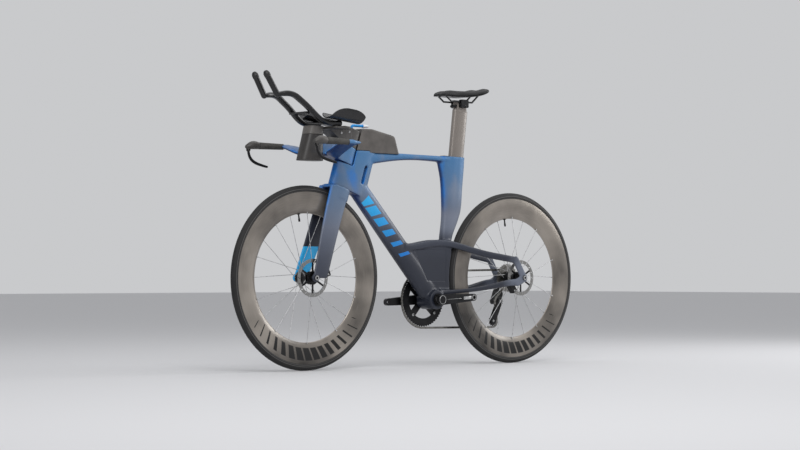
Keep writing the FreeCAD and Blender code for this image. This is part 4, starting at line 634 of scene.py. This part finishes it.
def layeredCarbon(name, tones, stretch, rough):  # fibres run along the least stretched axis
    look = grainLook["carbon"]
    material = newMaterial(name, Coat_Weight=0.3, Coat_Roughness=0.2, Metallic=0.3)
    point = objectPoint(material)
    fibre = noise(stretched(point, stretch), 1.0, 3.0, 0.6)
    tone = calc("ADD", times(fibre, look["fibreShare"]),
                times(noise(point, look["cloud"]), look["cloudShare"]))
    toShader("Base Color", toned(tone, tones, look["stops"]))
    roughened(tone, rough + look["roughMore"], rough - look["roughLess"], toneLook["stops"])
    bumped(fibre, *look["bump"])
    return material


# grips, saddle, pads and straw
gripLook = {"tones": ((54, 53, 51), (78, 76, 73)), "tone": (45.0, 4.0), "rough": (0.58, 0.74),
            "pores": 420.0, "ribPitch": 0.0042, "bump": (0.5, 0.0006)}
coverLook = {
    "tones": ((24, 24, 25), (38, 38, 39)), "thread": srgb(84, 84, 85), "tone": 25.0, "pores": 650.0,
    "creases": (180.0, 5.0, 0.65), "creaseShare": 0.8, "seamOut": 0.016,
    "seamSpread": (0.02, 0.17, 0.024, 0.0), "seam": (-0.0006, 0.0006, 0.0004),
    "stitch": (0.0018, 0.0028, 0.0003), "stitchPitch": 0.004, "stitchGap": 0.4, "seamDepth": 3.0,
    "rough": (0.42, 0.62), "bump": (0.22, 0.0005)}
fabricLook = {"tones": ((22, 22, 23), (40, 40, 41)), "threads": 1400, "tone": 60.0,
              "rough": (0.78, 0.92), "bump": (0.3, 0.0004)}
strawLook = {"tones": ((196, 200, 202), (222, 226, 228)), "tube": srgb(16, 138, 212),
             "valve": 0.026, "edge": 0.0004, "cloud": 120.0, "rough": (0.3, 0.5)}


def gripRubber():  # pores and ribs across the grip
    material = newMaterial("gripRubber", Specular_IOR_Level=0.3)
    point = objectPoint(material)
    tone = noise(point, *gripLook["tone"])
    toShader("Base Color", toned(tone, gripLook["tones"]))
    roughened(tone, *gripLook["rough"])
    cells = pores(point, gripLook["pores"])
    ribs = calc("SINE", times(apart(point)[0], math.tau / gripLook["ribPitch"]))
    bumped(calc("ADD", cells, ribs), *gripLook["bump"])
    return material


def saddleCover():  # seam with a stitch row on both sides of the channel
    material = newMaterial("saddleCover", Specular_IOR_Level=0.4)
    point = objectPoint(material)
    creases = noise(point, *coverLook["creases"])
    x, y, _ = apart(point)
    fromTail = calc("SUBTRACT", x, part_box("saddle_padding")[0].x)
    seam = calc("ADD", coverLook["seamOut"], spanned(fromTail, *coverLook["seamSpread"]))
    beside = calc("SUBTRACT", calc("ABSOLUTE", y), seam)
    row = calc("FRACT", calc("DIVIDE", x, coverLook["stitchPitch"]))
    stitch = times(within(beside, *coverLook["stitch"]), calc("GREATER_THAN", row, coverLook["stitchGap"]))
    body = toned(noise(point, coverLook["tone"]), coverLook["tones"])
    toShader("Base Color", mixed(stitch, body, coverLook["thread"]))
    roughened(creases, *coverLook["rough"])
    grain = calc("ADD", pores(point, coverLook["pores"]), times(creases, coverLook["creaseShare"]))
    groove = times(within(beside, *coverLook["seam"]), coverLook["seamDepth"])
    bumped(calc("SUBTRACT", grain, groove), *coverLook["bump"])
    return material


def padFabric():  # plain weave
    material = newMaterial("padFabric", Sheen_Weight=0.25, Sheen_Roughness=0.5, Specular_IOR_Level=0.2)
    point = objectPoint(material)
    x, y, z = apart(stretched(point, (fabricLook["threads"],) * 3))
    weave = times(calc("SINE", x), calc("SINE", calc("ADD", y, z)))
    tone = noise(point, fabricLook["tone"])
    toShader("Base Color", toned(tone, fabricLook["tones"]))
    roughened(tone, *fabricLook["rough"])
    bumped(weave, *fabricLook["bump"])
    return material


def strawPlastic():  # blue tube with a milky bite valve at its rear end
    material = newMaterial("strawPlastic", Subsurface_Weight=0.2, Specular_IOR_Level=0.4)
    point = objectPoint(material)
    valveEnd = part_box("drink_straw")[0].x + strawLook["valve"]
    tube = spanned(apart(point)[0], valveEnd - strawLook["edge"], valveEnd + strawLook["edge"])
    cloud = noise(point, strawLook["cloud"])
    milk = toned(cloud, strawLook["tones"])
    toShader("Base Color", mixed(tube, milk, strawLook["tube"]))
    roughened(cloud, *strawLook["rough"])
    return material


slotFinish = {
    "paint": "framePaint", "fork_paint": "forkPaint", "steel_spokes": "spokeSteel",
    "black_alloy": "blackAlloy", "bare_alloy": "bareAlloy", "drive_steel": "driveSteel",
    "dark_plastic": "darkPlastic", "grey_plastic": "boxPlastic", "post_carbon": "postCarbon",
    "black_carbon": "blackCarbon", "grip_rubber": "gripRubber", "saddle_cover": "saddleCover",
    "pad_cover": "padFabric", "brake_pad": "padCompound", "clear_straw": "strawPlastic"}
nodeFinish = {"hydration_bottle": "bottlePlastic", "aerobar_riser": "riserAlloy",
              "hydration_lid": "lidPlastic", "top_box_lid": "boxPlastic"}
made = [metal(name, **look) for name, look in metalLook.items()]
made += [moulded(name, **look) for name, look in mouldLook.items()]
made += [layeredCarbon(name, **look) for name, look in carbonLook.items()]
made += [framePaint(), forkPaint(), barPaint(), gripRubber(), saddleCover(), padFabric(), strawPlastic()]
for prefix, hub in hubs.items():
    rim, tyre, rotor = (prefix + name for name in ("RimCarbon", "TyreRubber", "RotorSteel"))
    made += [rimCarbon(rim, hub, *rimLook["lobes"][prefix]), tyreRubber(tyre, hub), rotorSteel(rotor, hub)]
    nodeFinish.update({prefix + "_rim": rim, prefix + "_tyre": tyre, prefix + "_rotor": rotor})
finishes = {material.name: material for material in made}
for entry in frame["record"]["subparts"]:
    finish = nodeFinish.get(entry["node"]) or slotFinish[entry["material_slot"]]
    mesh = nodes[entry["node"]].data
    mesh.materials.clear()
    mesh.materials.append(finishes[finish])
print("finishes assigned:", len(bpy.data.materials))

# painted and moulded shells with blended joints
wallLook = {"back": 0.0026, "side": 0.0016, "foot": 0.57, "full": 0.66, "reach": 0.017, "bore": 0.0008,
            "chord": 0.042, "half": 0.017, "blend": 0.026}
keepLook = {"panel": 0.0012, "post": 0.004}
shellLook = {
    "frame": {"nodes": ("frame", "rear_dropouts"), "voxel": 0.00265, "rings": 3, "rounds": 20, "finish": 9},
    "fork": {"nodes": ("fork",), "voxel": 0.0022, "rings": 5, "rounds": 24, "finish": 9},
    "bar": {"nodes": ("base_bar",), "voxel": 0.0018, "rings": 6, "rounds": 24, "finish": 9},
    "hoods": {"nodes": ("brake_hoods",), "voxel": 0.0012, "rings": 3, "rounds": 6, "finish": 8},
    "box": {"nodes": ("top_tube_box",), "voxel": 0.0015, "rings": 2, "rounds": 2, "finish": 10},
    "bottle": {"nodes": ("hydration_bottle",), "voxel": 0.0015, "rings": 2, "rounds": 2, "finish": 10},
    "riser": {"nodes": ("aerobar_riser",), "voxel": 0.0013, "rings": 4, "rounds": 10, "finish": 4},
    "clamp": {"nodes": ("saddle_clamp",), "voxel": 0.0010, "rings": 2, "rounds": 2, "finish": 9}}
shellBody = {  # finish, body, slot
    "frame": ("framePaint", "frame", "paint"), "fork": ("forkPaint", "steering", "fork_paint"),
    "bar": ("barPaint", "steering", "fork_paint"), "hoods": ("hoodRubber", "steering", "dark_plastic"),
    "box": ("boxPlastic", "frame", "grey_plastic"), "bottle": ("bottlePlastic", "steering", "grey_plastic"),
    "riser": ("riserAlloy", "steering", "grey_plastic"), "clamp": ("blackAlloy", "seatpost", "black_alloy")}
blendLook = {"hollow": 0.12, "finishFactor": 0.3, "sharpAngle": 50}


def nearNode(nodeName, reach):
    tree = searchTree(nodeName)
    return lambda co: tree.find_nearest(co, reach)[0] is not None


def easePostBore(bm):  # room round the seatpost and a thicker wall beside and behind it
    centre = middle("seatpost")
    bm.normal_update()
    for vert in bm.verts:
        if vert.co.z < wallLook["foot"]:
            continue
        back = centre.x + postSlide.x / postSlide.z * (vert.co.z - centre.z) - vert.co.x
        outward = Vector((vert.normal.x, vert.normal.y, 0))
        if outward.dot(Vector((-back, vert.co.y, 0))) <= 0:
            if abs(back) < wallLook["chord"] and abs(vert.co.y) < wallLook["half"]:
                vert.co -= vert.normal * wallLook["bore"]
        elif back > -wallLook["chord"]:
            rise = min((vert.co.z - wallLook["foot"]) / (wallLook["full"] - wallLook["foot"]), 1.0)
            start = min((back + wallLook["chord"]) / wallLook["blend"], 1.0)
            rear = min(max(back / wallLook["reach"], 0.0), 1.0)
            push = wallLook["side"] + (wallLook["back"] - wallLook["side"]) * rear
            vert.co += outward.normalized() * push * rise * start


def keptEdges():  # panel seats and the post's way stay as cut
    nearPanel = nearNode("storage_panels", keepLook["panel"])
    nearPost = nearNode("seatpost", keepLook["post"])
    lowest = postSlide * -joints["seatpost_height"]["range_m"][0]
    return lambda co: nearPanel(co) or nearPost(co) or nearPost(co + lowest)


for shellName, look in shellLook.items():
    finish, body, slotName = shellBody[shellName]
    isFrame = shellName == "frame"
    keepOut = keptEdges() if isFrame else None
    bm = castShell(look["nodes"], look["voxel"], easePostBore if isFrame else None)
    relax(bm, hollowVerts(bm, blendLook["hollow"], look["rings"], keepOut), look["rounds"])
    free = [vert for vert in bm.verts if not (keepOut and keepOut(vert.co))]
    relax(bm, free, look["finish"], blendLook["finishFactor"])
    shell = addPiece(shellName + "Shell", bm, finishes[finish], body, look["nodes"],
                     blendLook["sharpAngle"])
    print(shell.name, len(shell.data.polygons), "faces")

# soft pieces
softLook = {
    "saddleCushion": {"node": "saddle_padding", "finish": "saddleCover", "body": "saddle",
                      "slot": "saddle_cover", "voxel": 0.004, "inset": 0.0012, "fill": 0.8},
    "forearmPads": {"node": "armrest_pads", "finish": "padFabric", "body": "steering", "slot": "pad_cover",
                    "voxel": 0.003, "inset": 0.001, "fill": 0.7}}
swellLook = {"pressure": 4.0, "steps": 20, "reachShare": 1.2, "rounds": 3, "factor": 0.4, "sharpAngle": 70}


def swollen(piece, inset):  # the mesh after a short cloth run under pressure
    rest = [vert.co.copy() for vert in piece.data.vertices]
    cloth = piece.modifiers.new("cloth", "CLOTH")
    cloth.settings.use_pressure = True
    cloth.settings.uniform_pressure_force = swellLook["pressure"]
    cloth.settings.effector_weights.gravity = 0
    for step in range(1, swellLook["steps"] + 1):
        scene.frame_set(step)
    full = bpy.data.meshes.new_from_object(piece.evaluated_get(bpy.context.evaluated_depsgraph_get()))
    piece.modifiers.clear()
    for vert, start in zip(full.vertices, rest):
        move = vert.co - start
        vert.co = start + move.normalized() * min(move.length, inset * swellLook["reachShare"])
    scene.frame_set(1)
    return full


def plumped(name, look):
    bm = castShell((look["node"],), look["voxel"])
    bm.normal_update()
    for vert in bm.verts:
        vert.co -= vert.normal * look["inset"]
    mesh = bpy.data.meshes.new(name)
    bm.to_mesh(mesh)
    bm.free()
    piece = bpy.data.objects.new(name, mesh)
    scene.collection.objects.link(piece)
    piece.data = swollen(piece, look["inset"])
    bm = bmesh.new()
    bm.from_mesh(piece.data)
    relax(bm, bm.verts, swellLook["rounds"], swellLook["factor"])
    bpy.data.objects.remove(piece)
    piece = addPiece(name, bm, finishes[look["finish"]], look["body"], (look["node"],),
                     swellLook["sharpAngle"])
    smooth = piece.modifiers.new("smooth", "SUBSURF")
    smooth.levels = smooth.render_levels = 1


for name, look in softLook.items():
    plumped(name, look)
print("soft pieces done")


# fittings
def seatOn(target, nodeName, origin, direction, part):  # part set on the first face a line meets
    spot, normal, _, _ = searchTree(nodeName).ray_cast(Vector(origin), Vector(direction).normalized())
    if spot is None:
        print("nothing met on", nodeName, tuple(origin))
        part.free()
        return
    stamp(target, part, facing(spot, normal))


farSide, nearSide, farAbove = 0.3, 0.05, 1.2  # where the lines start, clear of every piece
nippleLook = {"radius": 0.0021, "length": 0.009, "bodyShare": 0.8, "tipShare": 0.6, "sides": 10,
              "endPoints": 6}
valveLook = {"radius": 0.0028, "reach": 0.030, "cap": 0.012, "collar": 0.003, "collarTop": 0.0034,
             "taper": 0.002, "collarShare": 2.2, "capShare": 1.35, "tipShare": 0.7, "rimAt": 0.2372,
             "sides": 20}
lockLook = {"inner": 0.0171, "outer": 0.0228, "notch": 0.0016, "teeth": 16, "height": 0.0024}


def addNipples(prefix, hub, body):  # gives the turn of every spoke end
    nipples = bmesh.new()
    turns = []
    reach, length, few = nippleLook["radius"], nippleLook["length"], nippleLook["endPoints"]
    for places in looseParts(prefix + "_spokes"):
        places.sort(key=lambda co: (co - hub).xz.length)
        inner = sum(places[:few], Vector()) / few
        outer = sum(places[-few:], Vector()) / few
        turns.append(math.atan2(outer.z - hub.z, outer.x - hub.x) % math.tau)
        profile = [(0, 0), (reach, 0), (reach, length * nippleLook["bodyShare"]),
                   (reach * nippleLook["tipShare"], length), (0, length)]
        stamp(nipples, turned(profile, nippleLook["sides"]), facing(outer, (inner - outer).normalized()))
    addPiece(prefix + "Nipples", nipples, finishes["bareAlloy"], body)
    return sorted(turns)


def addValve(prefix, hub, body, turns):  # in the gap between spokes that is nearest the top
    gaps = [(first + (second - first) % math.tau / 2) % math.tau
            for first, second in zip(turns, turns[1:] + turns[:1])]
    turn = min(gaps, key=lambda value: abs(value - math.pi / 2))
    outward = Vector((math.cos(turn), 0, math.sin(turn)))
    stem, tip = valveLook["radius"], valveLook["reach"]
    collar, cap = stem * valveLook["collarShare"], stem * valveLook["capShare"]
    profile = [(0, 0), (collar, 0), (collar, valveLook["collar"]), (stem, valveLook["collarTop"]),
               (stem, tip - valveLook["cap"]), (cap, tip - valveLook["cap"]), (cap, tip - valveLook["taper"]),
               (stem * valveLook["tipShare"], tip), (0, tip)]
    valve = bmesh.new()
    stamp(valve, turned(profile, valveLook["sides"]), facing(hub + outward * valveLook["rimAt"], -outward))
    addPiece(prefix + "Valve", valve, finishes["blackAlloy"], body)


def onFace(nodeName, spot, sense=1):  # place on a node's outer side face
    low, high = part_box(nodeName)
    face = high.y if sense > 0 else low.y
    return facing(Vector((spot.x, face, spot.z)), across * sense)


for prefix, hub in hubs.items():
    body = prefix + "_wheel"
    addValve(prefix, hub, body, addNipples(prefix, hub, body))
    ring = bmesh.new()
    stamp(ring, notchedRing(**lockLook), onFace(prefix + "_rotor", hub))
    addPiece(prefix + "LockRing", ring, finishes["blackAlloy"], body)

axleRing = {"inner": 0.0046, "outer": 0.0088, "height": 0.0008}
for prefix, body in (("front", "steering"), ("rear", "frame")):
    ring = bmesh.new()
    stamp(ring, flatRing(**axleRing), onFace(prefix + "_thru_axle", hubs[prefix]))
    addPiece(body + "AxleRing", ring, finishes["bareAlloy"], body)

crankLook = {
    "length": 0.165, "tilt": math.radians(3.0), "plate": (0.040, 0.0115), "plateAt": 0.130,
    "line": (0.074, 0.0010), "lineAt": 0.062, "trimHeight": 0.0008, "trimEdge": 0.0003,
    "bossRing": (0.0150, 0.0168, 0.0010), "eyeRing": (0.0076, 0.0102, 0.0007), "capSides": 40,
    "cap": ((0, 0), (0.0144, 0), (0.0144, 0.0006), (0.0138, 0.0012), (0.0092, 0.0012), (0.0086, 0.0004),
            (0, 0.0004))}
trim = bmesh.new()
caps = bmesh.new()
crankWay = Vector((-math.cos(crankLook["tilt"]), 0, math.sin(crankLook["tilt"])))
tilted = Matrix.Rotation(crankLook["tilt"], 4, "Y") @ Matrix.Rotation(math.pi / 2, 4, "X")
for nodeName, sense in (("crank_arm_left", 1), ("crank_arm_right", -1)):
    armWay = crankWay * sense
    stamp(trim, flatRing(*crankLook["bossRing"]), onFace(nodeName, bracket, sense))
    stamp(caps, turned(crankLook["cap"], crankLook["capSides"]), onFace(nodeName, bracket, sense))
    eye = bracket + armWay * crankLook["length"]
    stamp(trim, flatRing(*crankLook["eyeRing"]), onFace(nodeName, eye, sense))
    for key in ("plate", "line"):
        spot = onFace(nodeName, bracket + armWay * crankLook[key + "At"], sense).translation
        block = roundedBlock(*crankLook[key], crankLook["trimHeight"], crankLook["trimEdge"])
        stamp(trim, block, Matrix.Translation(spot) @ tilted)
addPiece("crankTrim", trim, finishes["bareAlloy"], "crankset")
addPiece("spindleCaps", caps, finishes["blackAlloy"], "crankset")

boltLook = {"count": 4, "reach": 0.078, "outer": (0.0046, 0.0016), "inner": (0.0050, 0.0010)}
bolts = bmesh.new()
for step in range(boltLook["count"]):
    turn = math.tau / boltLook["count"] * (step + 0.5) + crankLook["tilt"]
    spot = bracket + Vector((math.cos(turn), 0, -math.sin(turn))) * boltLook["reach"]
    seatOn(bolts, "crank_arm_right", (spot.x, -farSide, spot.z), across, socketScrew(*boltLook["outer"]))
    seatOn(bolts, "chainring", (spot.x, 0.0, spot.z), -across, socketScrew(*boltLook["inner"]))
addPiece("chainringBolts", bolts, finishes["bareAlloy"], "crankset")

fixLook = {  # screw sizes are radius and height; places are shares of the piece's box
    "caliper": {"size": (0.0034, 0.0018), "rise": 0.011, "ahead": 0.0055},
    "riserSide": {"size": (0.0042, 0.0022), "places": ((0.40, 0.72), (0.62, 0.66))},
    "riserTop": {"size": (0.0036, 0.0020), "places": (0.52, 0.86), "out": 0.018},
    "seatCover": {"size": (0.0034, 0.0014)},
    "cage": {"size": (0.0044, 0.0016)},
    "derailleur": {"size": (0.0048, 0.0018), "places": ((0.38, 0.80), (0.45, 0.30))},
    "leverPin": {"size": (0.0022, 0.0008), "rise": 0.004}}


def screw(key):
    return socketScrew(*fixLook[key]["size"])


screws = {"steering": bmesh.new(), "frame": bmesh.new()}
for nodeName, body in (("front_brake_caliper", "steering"), ("rear_brake_caliper", "frame")):
    spot = middle(nodeName)
    for level in (-1, 1):
        for sense in (1, -1):
            start = (spot.x + fixLook["caliper"]["ahead"] * level, farSide * sense,
                     spot.z + fixLook["caliper"]["rise"] * level)
            seatOn(screws[body], nodeName, start, -across * sense, screw("caliper"))
for sense in (1, -1):
    for shareX, shareZ in fixLook["riserSide"]["places"]:
        x, z = inBox("aerobar_riser", shareX, shareZ)
        start = (x, farSide * sense, z)
        seatOn(screws["steering"], "aerobar_riser", start, -across * sense, screw("riserSide"))
    for shareX in fixLook["riserTop"]["places"]:
        x, _ = inBox("aerobar_riser", shareX, 1.0)
        start = (x, fixLook["riserTop"]["out"] * sense, farAbove)
        seatOn(screws["steering"], "aerobar_riser", start, downward, screw("riserTop"))
spot = middle("seat_clamp_cover")
seatOn(screws["frame"], "seat_clamp_cover", (spot.x, spot.y, farAbove), downward, screw("seatCover"))
for name in ("guide_pulley_spin", "tension_pulley_spin"):
    spot = Vector(joints[name]["pos_m"])
    for sense in (1, -1):
        start = spot + across * nearSide * sense
        seatOn(screws["frame"], "derailleur_cage", start, -across * sense, screw("cage"))
for shareX, shareZ in fixLook["derailleur"]["places"]:
    x, z = inBox("derailleur_body", shareX, shareZ)
    seatOn(screws["frame"], "derailleur_body", (x, -farSide, z), across, screw("derailleur"))
for body, bm in screws.items():
    addPiece(body + "Screws", bm, finishes["bareAlloy"], body)
for side in ("left", "right"):
    pins = bmesh.new()
    spot = Vector(joints[side + "_lever_pull"]["pos_m"]) - downward * fixLook["leverPin"]["rise"]
    for sense in (1, -1):
        start = spot + across * nearSide * sense
        seatOn(pins, "brake_lever_" + side, start, -across * sense, screw("leverPin"))
    addPiece(side + "LeverPins", pins, finishes["bareAlloy"], side + "_lever")

barrelLook = {"radius": 0.0052, "length": 0.030, "ahead": 0.014, "drop": 0.006, "edge": 0.0008,
              "edgeShare": 0.86, "sides": 28, "stub": (-0.030, 0.0, 0.004), "stubRadius": 0.0032,
              "stubSides": 16}
low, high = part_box("saddle_clamp")
reach, length, edge = (barrelLook[key] for key in ("radius", "length", "edge"))
end = Vector((high.x + barrelLook["ahead"], -length / 2, low.z + barrelLook["drop"]))
barrel = bmesh.new()
small = reach * barrelLook["edgeShare"]
profile = [(0, 0), (small, 0), (reach, edge), (reach, length - edge), (small, length), (0, length)]
stamp(barrel, turned(profile, barrelLook["sides"]), facing(end, across))
stub = Vector(barrelLook["stub"])
stubPlace = facing(end + across * length / 2 + stub / 2, stub.normalized())
bmesh.ops.create_cone(barrel, cap_ends=True, segments=barrelLook["stubSides"], depth=stub.length,
                      radius1=barrelLook["stubRadius"], radius2=barrelLook["stubRadius"], matrix=stubPlace)
addPiece("clampBarrel", barrel, finishes["blackAlloy"], "seatpost")
print("fittings done")

# studio
floorLook = {"size": 30.0, "colour": srgb(204, 204, 206), "rough": 0.9}
airLook = {"colour": srgb(216, 217, 219), "strength": 0.85}
lampLook = {
    "key": {"spot": (2.4, 3.2, 3.2), "aim": (0.0, 0.0, 0.55), "size": 2.6, "power": 85.0},
    "top": {"spot": (-0.6, 0.2, 3.6), "aim": (0.0, 0.0, 0.4), "size": 3.2, "power": 34.0},
    "rim": {"spot": (-3.4, 1.2, 1.8), "aim": (0.0, 0.0, 0.5), "size": 1.8, "power": 40.0}}
viewLook = {"spot": (5.0693, 5.7436, 0.3426), "yaw": 41.06, "pitch": 1.488, "focalPixels": 1999.2,
            "imageWidth": 800, "sensor": 36.0}
bm = bmesh.new()
bmesh.ops.create_grid(bm, x_segments=1, y_segments=1, size=floorLook["size"])
floorMesh = bpy.data.meshes.new("studioFloor")
bm.to_mesh(floorMesh)
bm.free()
floor = bpy.data.objects.new("studioFloor", floorMesh)
scene.collection.objects.link(floor)
paper = newMaterial("floorPaper", Base_Color=floorLook["colour"], Roughness=floorLook["rough"])
floorMesh.materials.append(paper)
world = bpy.data.worlds.new("studioAir")
world.use_nodes = True
air = world.node_tree.nodes["Background"].inputs
air[0].default_value = airLook["colour"]
air[1].default_value = airLook["strength"]
scene.world = world
for name, look in lampLook.items():
    lamp = bpy.data.lights.new(name + "Lamp", "AREA")
    lamp.energy = look["power"]
    lamp.size = look["size"]
    holder = bpy.data.objects.new(name + "Lamp", lamp)
    scene.collection.objects.link(holder)
    holder.location = look["spot"]
    holder.rotation_euler = (Vector(look["aim"]) - holder.location).to_track_quat("-Z", "Y").to_euler()
yaw = math.radians(viewLook["yaw"])
pitch = math.radians(viewLook["pitch"])
sight = Vector((-math.sin(yaw) * math.cos(pitch), -math.cos(yaw) * math.cos(pitch), math.sin(pitch)))
camera = bpy.data.cameras.new("studioCamera")
camera.sensor_width = viewLook["sensor"]
camera.lens = viewLook["focalPixels"] / viewLook["imageWidth"] * camera.sensor_width
cameraHolder = bpy.data.objects.new("studioCamera", camera)
scene.collection.objects.link(cameraHolder)
cameraHolder.location = viewLook["spot"]
cameraHolder.rotation_euler = sight.to_track_quat("-Z", "Y").to_euler()
scene.camera = cameraHolder
scene.view_settings.view_transform = "Standard"
print("studio ready")
